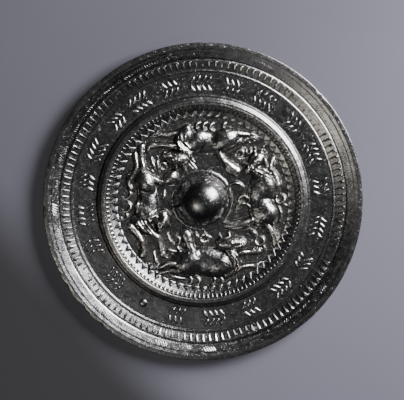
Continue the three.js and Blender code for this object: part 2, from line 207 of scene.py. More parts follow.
def section_points(sizes):
    """Corners of the back's section as radius and height, from the middle outwards."""
    field = sizes.field_radius
    slope_end = field + sizes.inner_slope_width
    band_start = slope_end + sizes.crest_width + sizes.crest_groove_width + sizes.outer_slope_width
    band_end = band_start + sizes.band_width
    comb_start = band_end + sizes.ridge_line_width
    comb_end = comb_start + sizes.comb_slope_width
    border_start = comb_end + sizes.rim_groove_width
    border_end = border_start + sizes.border_width
    rim = border_end + sizes.bevel_width
    return {
        "middle": (0.0, sizes.field_height),
        "field_edge": (field, sizes.field_height),
        "slope_foot": (field + SLIVER, sizes.slope_foot),
        "slope_bend": (field + 0.5 * sizes.inner_slope_width, sizes.slope_bend),
        "slope_top": (slope_end, sizes.slope_top),
        "band_start": (band_start, sizes.band_height),
        "band_end": (band_end, sizes.band_height),
        "ridge_line": ((band_end + comb_start) / 2, sizes.ridge_line_height),
        "comb_foot": (comb_start, sizes.comb_foot),
        "comb_top": (comb_end, sizes.comb_top),
        "rim_groove": ((comb_end + border_start) / 2, sizes.rim_groove_height),
        "border_foot": (border_start, sizes.border_foot),
        "border_top": (border_end, sizes.border_top),
        "rim": (rim, sizes.rim_height),
        "edge": (MIRROR_RADIUS, sizes.rim_top_edge),
    }


def back_height(sizes, radius):
    """Height of the plain back at a radius or an array of radii."""
    corners = np.array(list(section_points(sizes).values()))
    return np.interp(radius, corners[:, 0], corners[:, 1])


def running_mean(rows, reach):
    """Mean of each row with its neighbours on both sides. Rows that lack neighbours drop out."""
    sums = np.cumsum(np.vstack([np.zeros((1, rows.shape[1])), rows]), axis=0)
    return (sums[2 * reach + 1:] - sums[:-2 * reach - 1]) / (2 * reach + 1)


def padded_mean(rows, reach):
    """Running mean that keeps every row, with the end rows repeated."""
    return running_mean(np.vstack([rows[:1].repeat(reach, 0), rows, rows[-1:].repeat(reach, 0)]), reach)


def rounded_path(corners, step, rounding):
    """A polyline resampled at a step, with its corners rounded by a moving average."""
    corners = np.array(corners)
    runs = np.concatenate([[0], np.cumsum(np.hypot(*np.diff(corners, axis=0).T))])
    count = max(4, round(runs[-1] / step))
    places = np.linspace(0, runs[-1], count + 1)
    path = np.stack([np.interp(places, runs, corners[:, axis]) for axis in (0, 1)], axis=1)
    reach = max(1, round(rounding / step))
    for _ in range(2):
        smooth = padded_mean(path, reach)
        smooth[0], smooth[-1] = path[0], path[-1]
        path = smooth
    return path


# Noise

def value_noise(x, y, cell, seed):
    """Smooth noise from 0 to 1 on a square lattice."""
    table = np.random.default_rng(seed).random((256, 256))
    u, v = x / cell + 400.0, y / cell + 400.0
    i, j = np.floor(u).astype(int), np.floor(v).astype(int)
    s, t = u - i, v - j
    s, t = s * s * (3 - 2 * s), t * t * (3 - 2 * t)
    low = table[i & 255, j & 255] * (1 - s) + table[(i + 1) & 255, j & 255] * s
    high = table[i & 255, (j + 1) & 255] * (1 - s) + table[(i + 1) & 255, (j + 1) & 255] * s
    return low * (1 - t) + high * t


def casting_unevenness(x, y, seed):
    """Small rises and dips that any hand-cast surface has, in metres."""
    return sum(
        height * (value_noise(x, y, cell * MM, seed + step) - 0.5)
        for step, (cell, height) in enumerate(UNEVENNESS)
    ) * MM


def share_above(values, start, gain, most=1.0):
    """How far values pass a start, times a gain, held between nothing and a most."""
    return np.clip((values - start) * gain, 0, most)


def full_circle(count):
    """Evenly spaced angles of one turn."""
    return np.linspace(0, 2 * math.pi, count, endpoint=False)


# Figures of the relief. Each form is a list of stations: along, out, half width and rise.

NORTH = {
    "direction": 90,
    "forms": {
        "torso": [(-39, 74, 6, 5), (-28, 73, 10, 7), (-12, 69, 11, 6), (2, 69, 12, 7),
                  (16, 72, 11, 7), (25, 75, 7, 5)],
        "haunch": [(-34, 76, 7, 7), (-26, 73, 11, 10), (-18, 66, 7, 7)],
        "shoulder": [(-2, 76, 6, 7), (7, 72, 11, 10), (14, 66, 8, 8)],
        "chest": [(14, 80, 6, 7), (21, 77, 8, 9), (27, 72, 5, 6)],
        "neck": [(26, 77, 4, 5), (27, 70, 6, 7), (24, 63, 6, 8), (17, 57, 6, 7)],
        "head": [(21, 51, 6, 7), (29, 50, 9, 9), (36, 52, 7, 8), (43, 56, 4, 5)],
        "upper_foreleg": [(32, 65, 4, 5), (40, 66, 3, 6), (49, 67, 3, 4), (59, 66, 4, 4)],
        "lower_foreleg": [(18, 86, 4, 6), (27, 82, 3, 4), (39, 79, 3, 5), (49, 79, 3, 4),
                          (59, 80, 4, 4)],
        "upper_hind_leg": [(-29, 68, 5, 5), (-37, 69, 3, 5), (-48, 72, 3, 4), (-57, 75, 3, 3)],
        "lower_hind_leg": [(-35, 79, 6, 6), (-44, 79, 4, 5), (-54, 78, 3, 3), (-64, 79, 4, 3)],
        "tail": [(-17, 59, 3, 3), (-21, 54, 3, 5), (-25, 48, 3, 5), (-31, 41, 6, 6), (-38, 36, 6, 5)],
        "front_ear": [(24, 45, 2, 7), (20, 37, 1, 3)],
        "back_ear": [(31, 43, 2, 7), (31, 35, 1, 3)],
    },
    "locks": [
        [(8, 39), (13, 45), (18, 52)],
        [(10, 46), (15, 53), (21, 58)],
        [(12, 53), (17, 58), (23, 61)],
        [(19, 67), (24, 72), (26, 78)],
        [(23, 62), (28, 66), (30, 72)],
        [(15, 63), (20, 69), (21, 77)],
    ],
    "face": {"eyes": [(27, 51), (34, 51)], "nose": (40, 55), "mouth": [(33, 58), (39, 60), (44, 58)]},
    "lines": [[(-30, 63), (-14, 56), (4, 55), (14, 59)], [(21, 60), (28, 62), (35, 61)]],
}
WEST = {
    "direction": 180,
    "forms": {
        "torso": [(-33, 68, 6, 5), (-25, 67, 10, 8), (-12, 65, 9, 6), (2, 64, 10, 7),
                  (11, 66, 11, 7), (20, 69, 8, 6)],
        "haunch": [(-31, 70, 7, 7), (-23, 66, 9, 10), (-15, 62, 6, 6)],
        "shoulder": [(4, 72, 6, 7), (11, 68, 9, 9), (17, 63, 7, 8)],
        "chest": [(20, 78, 5, 6), (25, 72, 8, 8), (30, 66, 6, 6)],
        "neck": [(18, 71, 4, 5), (20, 65, 5, 7), (17, 59, 5, 7), (18, 53, 5, 6)],
        "head": [(15, 46, 6, 7), (21, 46, 8, 9), (28, 48, 5, 7), (33, 50, 3, 5)],
        "upper_foreleg": [(34, 61, 4, 5), (40, 53, 3, 6), (50, 49, 3, 4), (61, 47, 4, 4)],
        "lower_foreleg": [(28, 84, 4, 5), (36, 77, 4, 5), (44, 71, 3, 6), (52, 69, 3, 4),
                          (61, 70, 4, 4)],
        "upper_hind_leg": [(-32, 73, 5, 5), (-41, 69, 3, 6), (-50, 71, 3, 4), (-65, 71, 4, 4)],
        "lower_hind_leg": [(-16, 83, 3, 4), (-25, 85, 4, 5), (-40, 77, 3, 5), (-56, 79, 3, 3)],
        "tail": [(-28, 58, 4, 5), (-24, 50, 4, 5), (-25, 42, 5, 5), (-29, 37, 7, 6), (-33, 34, 4, 4)],
        "front_ear": [(25, 44, 2, 6), (27, 38, 1, 3)],
        "back_ear": [(29, 50, 2, 5), (29, 43, 1, 3)],
    },
    "locks": [
        [(9, 53), (12, 59), (14, 66)],
        [(14, 54), (17, 61), (18, 70)],
        [(19, 64), (25, 60), (34, 54)],
        [(18, 70), (26, 65), (35, 58)],
        [(22, 76), (30, 71), (37, 64)],
    ],
    "face": {"eyes": [(19, 44), (24, 47)], "nose": (30, 50), "mouth": [(22, 53), (27, 54), (32, 53)]},
    "lines": [[(9, 58), (14, 64), (16, 70), (13, 75)], [(-14, 75), (2, 76), (15, 78)],
              [(31, 87), (41, 80), (52, 74)], [(-19, 33), (-18, 45), (-14, 53), (-6, 56)]],
}
SOUTH = {
    "direction": 270,
    "forms": {
        "torso": [(-28, 69, 7, 4), (-19, 71, 14, 8), (-4, 69, 13, 7), (10, 71, 14, 8),
                  (23, 74, 12, 8), (32, 76, 7, 5)],
        "haunch": [(-24, 77, 7, 7), (-17, 70, 11, 10), (-10, 63, 7, 7)],
        "shoulder": [(14, 80, 7, 7), (20, 74, 10, 10), (25, 67, 7, 7)],
        "neck": [(36, 81, 4, 5), (37, 74, 5, 7), (36, 66, 6, 8), (32, 59, 7, 7)],
        "head": [(22, 49, 7, 7), (30, 49, 9, 9), (38, 48, 7, 9), (46, 48, 5, 7)],
        "upper_foreleg": [(39, 62, 4, 5), (45, 59, 3, 6), (55, 59, 3, 4), (65, 58, 4, 4)],
        "lower_foreleg": [(27, 86, 4, 5), (38, 80, 4, 5), (46, 76, 3, 6), (56, 75, 3, 4),
                          (66, 75, 4, 4)],
        "upper_hind_leg": [(-25, 77, 5, 5), (-38, 71, 3, 6), (-49, 76, 3, 3), (-61, 77, 4, 3)],
        "lower_hind_leg": [(-19, 84, 4, 4), (-35, 80, 3, 5), (-51, 83, 2, 3), (-60, 84, 3, 3)],
        "tail": [(-11, 59, 4, 5), (-16, 51, 5, 5), (-18, 44, 6, 5), (-20, 38, 6, 5), (-22, 34, 4, 3)],
        "front_ear": [(24, 48, 2, 7), (19, 38, 1, 3)],
        "back_ear": [(31, 43, 2, 6), (30, 35, 1, 3)],
    },
    "locks": [
        [(29, 61), (35, 66), (36, 74), (34, 82)],
        [(33, 60), (38, 66), (40, 73), (37, 81)],
        [(37, 58), (41, 64), (43, 70)],
        [(26, 57), (31, 63), (33, 69)],
    ],
    "face": {"eyes": [(35, 46), (44, 45)], "nose": (47, 49), "mouth": [(33, 56), (40, 54), (46, 52)]},
    "lines": [[(12, 62), (20, 66), (28, 71), (34, 79)], [(-21, 52), (-17, 59)],
              [(43, 41), (47, 44), (47, 50)]],
}
EAST = {
    "direction": 0,
    "forms": {
        "torso": [(-24, 66, 7, 5), (-11, 69, 13, 8), (2, 65, 10, 6), (14, 67, 12, 8),
                  (25, 70, 11, 8), (31, 70, 7, 6)],
        "haunch": [(-20, 77, 7, 7), (-13, 75, 11, 10), (-5, 70, 8, 8)],
        "shoulder": [(11, 77, 7, 7), (19, 74, 10, 10), (28, 71, 9, 9)],
        "neck": [(32, 77, 4, 5), (36, 71, 5, 7), (38, 64, 6, 8), (40, 59, 6, 7)],
        "head": [(55, 66, 5, 6), (49, 63, 8, 9), (42, 58, 7, 8), (36, 52, 4, 6)],
        "upper_foreleg": [(32, 76, 3, 5), (39, 74, 3, 5), (48, 72, 3, 5), (57, 68, 3, 4)],
        "lower_foreleg": [(20, 87, 4, 5), (29, 84, 4, 5), (41, 78, 3, 6), (50, 81, 4, 4)],
        "upper_hind_leg": [(-24, 72, 4, 5), (-33, 79, 3, 5), (-43, 82, 2, 4), (-53, 84, 3, 3)],
        "lower_hind_leg": [(-10, 79, 7, 7), (-19, 83, 5, 6), (-33, 83, 3, 5), (-46, 87, 3, 4),
                           (-57, 85, 4, 3)],
        "tail": [(-21, 58, 4, 5), (-25, 49, 5, 6), (-27, 40, 5, 6), (-28, 31, 4, 5), (-26, 25, 3, 3)],
        "front_ear": [(55, 60, 2, 6), (63, 60, 1, 3)],
        "back_ear": [(44, 53, 2, 6), (46, 46, 1, 3)],
    },
    "locks": [
        [(27, 79), (31, 74), (35, 66)],
        [(30, 67), (33, 61), (37, 56)],
        [(32, 80), (36, 74), (40, 68)],
        [(33, 68), (37, 61), (41, 56)],
    ],
    "face": {"eyes": [(48, 61), (41, 54)], "nose": (36, 52), "mouth": [(38, 58), (42, 62), (46, 66)]},
    "lines": [[(-24, 59), (-8, 53), (8, 51), (22, 54)], [(47, 71), (52, 70), (57, 67)],
              [(52, 58), (57, 61), (64, 60)], [(-9, 84), (-4, 80), (-1, 77)]],
}
BEASTS = (NORTH, WEST, SOUTH, EAST)
CLAWED = ("upper_foreleg", "lower_foreleg", "upper_hind_leg", "lower_hind_leg")
ROUNDED = ("torso", "haunch", "shoulder", "chest")
BODY_BREADTH = 1.2
LIMB_BREADTH = 1.12
BODY_DEPTH = 0.92

# Clouds: direction of their quarter, along, out, radius, start, sweep and rise.
CLOUDS = [
    (90, -12, 87, 4, -100, 190, 3), (90, -4, 88, 4, -100, 190, 3), (90, 4, 88, 4, -100, 190, 3),
    (90, -43, 57, 4, 0, 300, 4), (90, -26, 88, 3, -100, 190, 2),
    (180, -42, 46, 4, 0, 300, 4), (180, -10, 90, 6, -160, 200, 3), (180, 5, 90, 6, -160, 200, 3),
    (180, -32, 86, 6, -160, 200, 3), (180, 16, 92, 4, -160, 220, 2),
    (270, -17, 92, 4, -100, 190, 3), (270, -9, 93, 5, -100, 190, 3), (270, 8, 92, 6, -100, 190, 3),
    (270, 18, 93, 5, -100, 190, 3), (270, -35, 45, 8, -60, 130, 4), (270, 1, 43, 4, 20, 260, 3),
    (0, -11, 47, 9, -100, 200, 4), (0, 1, 47, 6, -100, 200, 4), (0, 12, 38, 10, -90, 150, 4),
    (0, 3, 90, 5, 0, 300, 4), (0, -46, 66, 5, 0, 300, 4), (0, 59, 53, 3, 0, 300, 4),
]
CLOUD_HALF_WIDTH = 2.1

# Claws and eyes, in hundredths of the field too
CLAW_COUNT = 4
CLAW_GAP = 3.1
CLAW_AHEAD = 3.2
CLAW_ASIDE = 4.2
EYE_RADIUS = 1.9

# Blades and stems between the beasts: direction, half width, rise and route.
BLADES = [
    (90, 1.8, 4, [(-42, 34), (-38, 40), (-33, 46)]),
    (90, 1.6, 3, [(-54, 60), (-45, 63)]),
    (90, 1.2, 3, [(-47, 50), (-40, 51), (-36, 56)]),
    (90, 1.5, 2, [(9, 89), (15, 87), (20, 90)]),
    (180, 3.0, 4, [(-70, 60), (-63, 63), (-57, 64)]),
    (180, 2.0, 4, [(-52, 60), (-44, 57), (-36, 54)]),
    (180, 1.3, 3, [(-53, 53), (-43, 52), (-33, 51)]),
    (180, 1.3, 3, [(-41, 62), (-36, 58), (-31, 57)]),
    (180, 1.8, 3, [(-13, 45), (-7, 45), (-2, 47)]),
    (180, 1.3, 2, [(-38, 83), (-30, 88), (-23, 88)]),
    (180, 2.4, 3, [(58, 57), (68, 55), (74, 52)]),
    (270, 2.0, 4, [(-31, 49), (-28, 55), (-25, 60)]),
    (270, 1.8, 4, [(-44, 53), (-37, 56), (-29, 58)]),
    (270, 1.2, 3, [(-41, 36), (-38, 44), (-32, 51)]),
    (270, 1.3, 3, [(-37, 61), (-33, 63), (-29, 61)]),
    (270, 2.6, 3, [(-40, 84), (-32, 88), (-22, 90)]),
    (270, 1.3, 4, [(-9, 35), (-7, 39), (-4, 43)]),
    (270, 1.4, 4, [(1, 35), (4, 39), (9, 42)]),
    (270, 1.4, 3, [(5, 43), (6, 48)]),
    (270, 1.2, 3, [(-4, 51), (1, 50)]),
    (270, 1.2, 3, [(14, 49), (17, 51)]),
    (0, 1.5, 4, [(-41, 63), (-36, 60), (-32, 55)]),
    (0, 1.3, 3, [(-50, 68), (-54, 72), (-64, 73)]),
    (0, 1.3, 3, [(-2, 92), (-5, 97)]),
    (0, 1.3, 3, [(-25, 89), (-14, 91), (-4, 87)]),
    (0, 1.6, 3, [(60, 45), (61, 52)]),
    (0, 1.4, 3, [(-51, 56), (-46, 57)]),
]


def field_place(sizes, direction, along, out):
    """A place in hundredths of the field's radius, as x and y in metres."""
    angle = math.radians(direction)
    unit = sizes.field_radius / 100
    return (
        (out * math.cos(angle) - along * math.sin(angle)) * unit,
        (out * math.sin(angle) + along * math.cos(angle)) * unit,
    )


def smooth_route(stations, steps=6):
    """A Catmull-Rom curve through stations of any number of values."""
    stations = np.array(stations, dtype=float)
    ends = np.vstack([2 * stations[0] - stations[1], stations, 2 * stations[-1] - stations[-2]])
    points = []
    for index in range(1, len(ends) - 2):
        before, start, stop, after = ends[index - 1:index + 3]
        for share in np.linspace(0, 1, steps, endpoint=False):
            points.append(0.5 * (
                2 * start + (stop - before) * share
                + (2 * before - 5 * start + 4 * stop - after) * share ** 2
                + (3 * start - before - 3 * stop + after) * share ** 3
            ))
    points.append(stations[-1])
    return np.array(points)


class ReliefGround:
    """Heights over a set of places, on which rounded forms are raised one after another."""

    OUTSIDE = -1.0 * MM

    def __init__(self, x, y, height):
        self.x = x
        self.y = y
        self.height = height
        self.plain = height.copy()

    def profile(self, route, fullness):
        """Rounded rise of a route of x, y, half width and rise above the plain ground."""
        form = np.full(self.x.shape, self.OUTSIDE)
        for (x0, y0, w0, h0), (x1, y1, w1, h1) in zip(route[:-1], route[1:]):
            reach = max(w0, w1) + 0.6 * MM
            near = (self.x > min(x0, x1) - reach) & (self.x < max(x0, x1) + reach)
            near &= (self.y > min(y0, y1) - reach) & (self.y < max(y0, y1) + reach)
            px, py = self.x[near] - x0, self.y[near] - y0
            run = (x1 - x0) ** 2 + (y1 - y0) ** 2
            share = np.clip((px * (x1 - x0) + py * (y1 - y0)) / max(run, 1e-12), 0, 1)
            gap = np.hypot(px - share * (x1 - x0), py - share * (y1 - y0))
            width = w0 + share * (w1 - w0)
            rise = h0 + share * (h1 - h0)
            across = gap / width
            inside = rise * np.clip(1 - across ** 2, 0, 1) ** fullness
            value = np.where(across < 1, inside, -(gap - width) * 1.6)
            form[near] = np.maximum(form[near], value)
        return form

    def swell(self, route, blend=0.6 * MM, fullness=0.62):
        """Raises a form out of the ground, with a small fillet where it meets the rest."""
        form = self.profile(route, fullness)
        near = form > self.OUTSIDE
        raised = self.plain[near] + form[near]
        here = self.height[near]
        overlap = np.clip(blend - np.abs(raised - here), 0, None) / blend
        self.height[near] = np.maximum(raised, here) + overlap ** 2 * blend / 4

    def ridge(self, route, fullness=0.8):
        """Adds a fine ridge, or with a negative rise a groove, on whatever is there."""
        rises = route[:, 3]
        sign = -1.0 if rises.mean() < 0 else 1.0
        form = self.profile(np.column_stack([route[:, :3], np.abs(rises)]), fullness)
        self.height += sign * np.clip(form, 0, None)


def placed_route(sizes, direction, stations):
    """Stations in hundredths of the field as a smooth route in metres."""
    unit = sizes.field_radius / 100
    placed = []
    for along, out, half_width, rise in stations:
        x, y = field_place(sizes, direction, along, out)
        placed.append((x, y, half_width * unit, rise * unit))
    return smooth_route(placed)


def thin_route(sizes, direction, places, half_width, rise, taper=0.45):
    """A thin line through places, thinner and lower at its ends."""
    count = len(places)
    stations = []
    for index, (along, out) in enumerate(places):
        share = index / max(1, count - 1)
        body = taper + (1 - taper) * math.sin(share * math.pi)
        stations.append((along, out, half_width * body, rise * body))
    return placed_route(sizes, direction, stations)


def carve_claws(ground, sizes, direction, leg):
    """Short claws slanting off the end of a leg."""
    (a0, o0, *_), (a1, o1, width, rise) = leg[-2], leg[-1]
    run = math.hypot(a1 - a0, o1 - o0)
    ahead = ((a1 - a0) / run, (o1 - o0) / run)
    side = (-ahead[1], ahead[0])
    lean = 1 if o1 > 62 else -1
    for claw in range(CLAW_COUNT):
        back = claw * CLAW_GAP
        root_along = a1 + ahead[0] * (2 - back) + side[0] * lean * width * 0.2
        root_out = o1 + ahead[1] * (2 - back) + side[1] * lean * width * 0.2
        tip_along = root_along + ahead[0] * CLAW_AHEAD + side[0] * lean * CLAW_ASIDE
        tip_out = root_out + ahead[1] * CLAW_AHEAD + side[1] * lean * CLAW_ASIDE
        route = [(root_along, root_out, 1.1, rise * 0.95), (tip_along, tip_out, 0.8, rise * 0.55)]
        ground.swell(placed_route(sizes, direction, route), blend=0.12 * MM)


def carve_face(ground, sizes, direction, face):
    """Eyes, nose and mouth of a small lion-like head."""
    for along, out in face["eyes"]:
        ring = [
            (along + EYE_RADIUS * math.cos(turn), out + EYE_RADIUS * math.sin(turn), 0.9, 1.1)
            for turn in np.linspace(0, 2 * math.pi, 9)
        ]
        ground.ridge(placed_route(sizes, direction, ring))
        dot = [(along - 0.3, out, 0.9, 1.2), (along + 0.3, out, 0.9, 1.2)]
        ground.ridge(placed_route(sizes, direction, dot))
    along, out = face["nose"]
    nose = [(along - 1.5, out, 1.6, 1.4), (along + 1.5, out, 1.8, 1.6)]
    ground.ridge(placed_route(sizes, direction, nose))
    ground.ridge(thin_route(sizes, direction, face["mouth"], 0.9, -1.6, taper=0.7))
    lip = [(a - 0.5, o - 1.9) for a, o in face["mouth"]]
    ground.ridge(thin_route(sizes, direction, lip, 0.9, 1.0, taper=0.6))


def carve_beast(ground, sizes, beast):
    """One running beast: rounded body first, then mane, face, claws and contour lines."""
    direction = beast["direction"]
    for name, stations in beast["forms"].items():
        breadth = BODY_BREADTH if name in ROUNDED else LIMB_BREADTH
        depth = BODY_DEPTH if name in ROUNDED else 1.0
        shaped = [(a, o, width * breadth, rise * depth) for a, o, width, rise in stations]
        blend = 1.1 * MM if name in ROUNDED else 0.5 * MM
        ground.swell(placed_route(sizes, direction, shaped), blend, fullness=0.56)
        if name in CLAWED:
            carve_claws(ground, sizes, direction, stations)
    for lock in beast["locks"]:
        ground.ridge(thin_route(sizes, direction, lock, 1.5, 1.3, taper=0.6))
        shade = [(a + 2.4, o + 0.6) for a, o in lock]
        ground.ridge(thin_route(sizes, direction, shade, 1.1, -1.3, taper=0.6))
    for line in beast["lines"]:
        ground.ridge(thin_route(sizes, direction, line, 1.2, 1.2, taper=0.5))
    carve_face(ground, sizes, direction, beast["face"])


def carve_clouds(ground, sizes):
    """Curled clouds, blades and stems that fill the field between the beasts."""
    for direction, along, out, radius, start, sweep, rise in CLOUDS:
        stations = []
        for share in np.linspace(0, 1, 9):
            turn = math.radians(start + share * sweep)
            body = 0.5 + 0.5 * math.sin(share * math.pi)
            stations.append((
                along + radius * math.cos(turn), out + radius * math.sin(turn),
                CLOUD_HALF_WIDTH * body, rise * body,
            ))
        ground.swell(placed_route(sizes, direction, stations))
    for direction, half_width, rise, places in BLADES:
        ground.swell(thin_route(sizes, direction, places, half_width, rise))


def carve_seat_ring(ground, sizes):
    """The narrow ring round the knob, dipped where the cord passes."""
    from_knob_x = ground.x - sizes.knob_shift_x
    from_knob_y = ground.y - sizes.knob_shift_y
    distance = np.hypot(from_knob_x, from_knob_y)
    half = sizes.seat_ring_width / 2
    across = np.clip(np.abs(distance - (sizes.seat_ring_radius - half)) / half, 0, 1)
    ring = sizes.seat_ring_rise * (1 - across ** 2) ** 0.7
    seat = np.where(distance < sizes.seat_ring_radius - half, sizes.seat_ring_rise / 3, 0.0)
    mouth = np.clip(1.6 - np.abs(from_knob_y) / (sizes.cord_hole_width / 2), 0, 1)
    ring = np.maximum(ring, seat) * (1 - 0.55 * mouth)
    ground.height = np.maximum(ground.height, ground.plain + ring)


# Meshes and objects

def new_mesh(name, vertices, faces):
    """A mesh of vertices and faces."""
    mesh = bpy.data.meshes.new(name)
    mesh.from_pydata(vertices, [], faces)
    mesh.update()
    return mesh


def new_object(name, data):
    """An object in the scene that shows a mesh, a light or a camera."""
    made = bpy.data.objects.new(name, data)
    bpy.context.scene.collection.objects.link(made)
    return made


def shaped_mesh(shown, name):
    """The mesh that an object's modifiers give it."""
    bpy.context.view_layer.update()
    evaluated = shown.evaluated_get(bpy.context.evaluated_depsgraph_get())
    mesh = bpy.data.meshes.new_from_object(evaluated)
    mesh.name = name
    return mesh


def vertex_vectors(mesh, key):
    """Places or normals of a mesh's vertices, one row each."""
    vectors = np.empty(len(mesh.vertices) * 3)
    mesh.vertices.foreach_get(key, vectors)
    return vectors.reshape(-1, 3)


def move_vertices(mesh, places):
    """Puts a mesh's vertices at new places."""
    mesh.vertices.foreach_set("co", places.ravel())
    mesh.update()


def band_faces(inner_first, inner_count, outer_first, outer_count):
    """Faces between two rings of vertices, which may hold different counts."""
    if inner_count == outer_count:
        here = np.arange(inner_count)
        ahead = (here + 1) % inner_count
        return np.stack([
            inner_first + here, outer_first + here, outer_first + ahead, inner_first + ahead,
        ], axis=1).tolist()
    faces = []
    i = j = 0
    while i < inner_count or j < outer_count:
        inner_next = (i + 1) / inner_count if inner_count > 1 else 2.0
        outer_next = (j + 1) / outer_count if outer_count > 1 else 2.0
        at_inner = inner_first + i % inner_count
        at_outer = outer_first + j % outer_count
        if inner_next < outer_next - 1e-9:
            faces.append([at_inner, at_outer, inner_first + (i + 1) % inner_count])
            i += 1
        elif outer_count > 1 and j < outer_count:
            faces.append([at_inner, at_outer, outer_first + (j + 1) % outer_count])
            j += 1
        if inner_count == 1 and j >= outer_count or outer_count == 1 and i >= inner_count:
            break
    return faces


def ring_mesh(name, rings, closed):
    """A mesh of bands between rings of points. A closed one joins the last ring to the first."""
    firsts = np.concatenate([[0], np.cumsum([len(ring) for ring in rings])])
    faces = []
    pairs = [(row, row + 1) for row in range(len(rings) - 1)]
    if closed:
        pairs.append((len(rings) - 1, 0))
    for here, ahead in pairs:
        faces += band_faces(int(firsts[here]), len(rings[here]), int(firsts[ahead]), len(rings[ahead]))
    mesh = new_mesh(name, np.concatenate(rings).tolist(), faces)
    mesh.validate()
    mesh.update()
    return mesh


def circle_points(radius, height, count):
    """One plain ring of points."""
    if count == 1:
        return np.array([[0.0, 0.0, height]])
    angles = full_circle(count)
    level = np.full(count, height)
    return np.column_stack([radius * np.cos(angles), radius * np.sin(angles), level])


def set_values(mesh, name, values):
    """Stores one number per vertex for the material to read."""
    attribute = mesh.attributes.new(name, "FLOAT", "POINT")
    attribute.data.foreach_set("value", np.asarray(values, dtype=np.float32))


def finish_piece(mesh, name, material, sharp_angle=50):
    """Makes a piece of the casting from a mesh and hands it to the frame."""
    piece = new_object(name, mesh)
    if not mesh.materials:
        mesh.materials.append(material)
    mesh.shade_smooth()
    mesh.set_sharp_from_angle(angle=math.radians(sharp_angle))
    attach(piece, BODY)
    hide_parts(NODE)


def closed_piece(name, rings, wears, hollows, ends, material):
    """A ring-shaped piece with its wear and its dark film, partly painted shade, closed underneath at the
    radii of both ends.
    """
    for radius in ends:
        rings.append(circle_points(radius, BURIED_HEIGHT, BURIED_POINTS))
        wears.append(np.zeros(BURIED_POINTS))
        hollows.append(np.ones(BURIED_POINTS))
    mesh = ring_mesh(name, rings, closed=True)
    set_values(mesh, "wear", np.concatenate(wears))
    set_values(mesh, "film_and_shade", np.concatenate(hollows))
    finish_piece(mesh, name, material)


def wear_of_grid(heights, spread):
    """How far each point of a polar grid stands out of its surroundings, in metres."""
    blurred = heights
    for _ in range(3):
        blurred = padded_mean(blurred, spread)
        wrapped = np.hstack([blurred[:, -spread:], blurred, blurred[:, :spread]])
        blurred = running_mean(wrapped.T, spread).T
    return heights - blurred


# Material nodes

def add_node(tree, kind, values=None, **settings):
    """Adds a node, sets its settings, and sets or links its inputs by name or number."""
    made = tree.nodes.new(kind)
    for key, value in settings.items():
        setattr(made, key, value)
    for key, value in (values or {}).items():
        if isinstance(value, bpy.types.NodeSocket):
            tree.links.new(value, made.inputs[key])
        else:
            made.inputs[key].default_value = value
    return made


def new_tree(name, kind, inputs, outputs):
    """A node group with named sockets, as (tree, its input node, its output node)."""
    tree = bpy.data.node_groups.new(name, kind)
    for label, socket_type, default in inputs:
        socket = tree.interface.new_socket(name=label, in_out="INPUT", socket_type=socket_type)
        if default is not None:
            socket.default_value = default
    for label, socket_type in outputs:
        tree.interface.new_socket(name=label, in_out="OUTPUT", socket_type=socket_type)
    return tree, tree.nodes.new("NodeGroupInput"), tree.nodes.new("NodeGroupOutput")


def maths(tree, operation, first, second, clamp=False):
    """The result of one sum."""
    values = {0: first, 1: second}
    return add_node(tree, "ShaderNodeMath", values, operation=operation, use_clamp=clamp).outputs[0]


def ramp(tree, value, low, high, to_low=0.0, to_high=1.0):
    """Smooth steps of a value from one range to another."""
    values = {"Value": value, "From Min": low, "From Max": high, "To Min": to_low, "To Max": to_high}
    return add_node(tree, "ShaderNodeMapRange", values, interpolation_type="SMOOTHSTEP").outputs[0]


def mixed(tree, share, first, second):
    """Two colours mixed by a share."""
    values = {0: share, 6: first, 7: second}
    return add_node(tree, "ShaderNodeMix", values, data_type="RGBA").outputs[2]


def noise(tree, place, scale, detail, roughness=0.6):
    """Noise at a scale given per metre."""
    values = {"Vector": place, "Scale": scale, "Detail": detail, "Roughness": roughness}
    return add_node(tree, "ShaderNodeTexNoise", values).outputs[0]


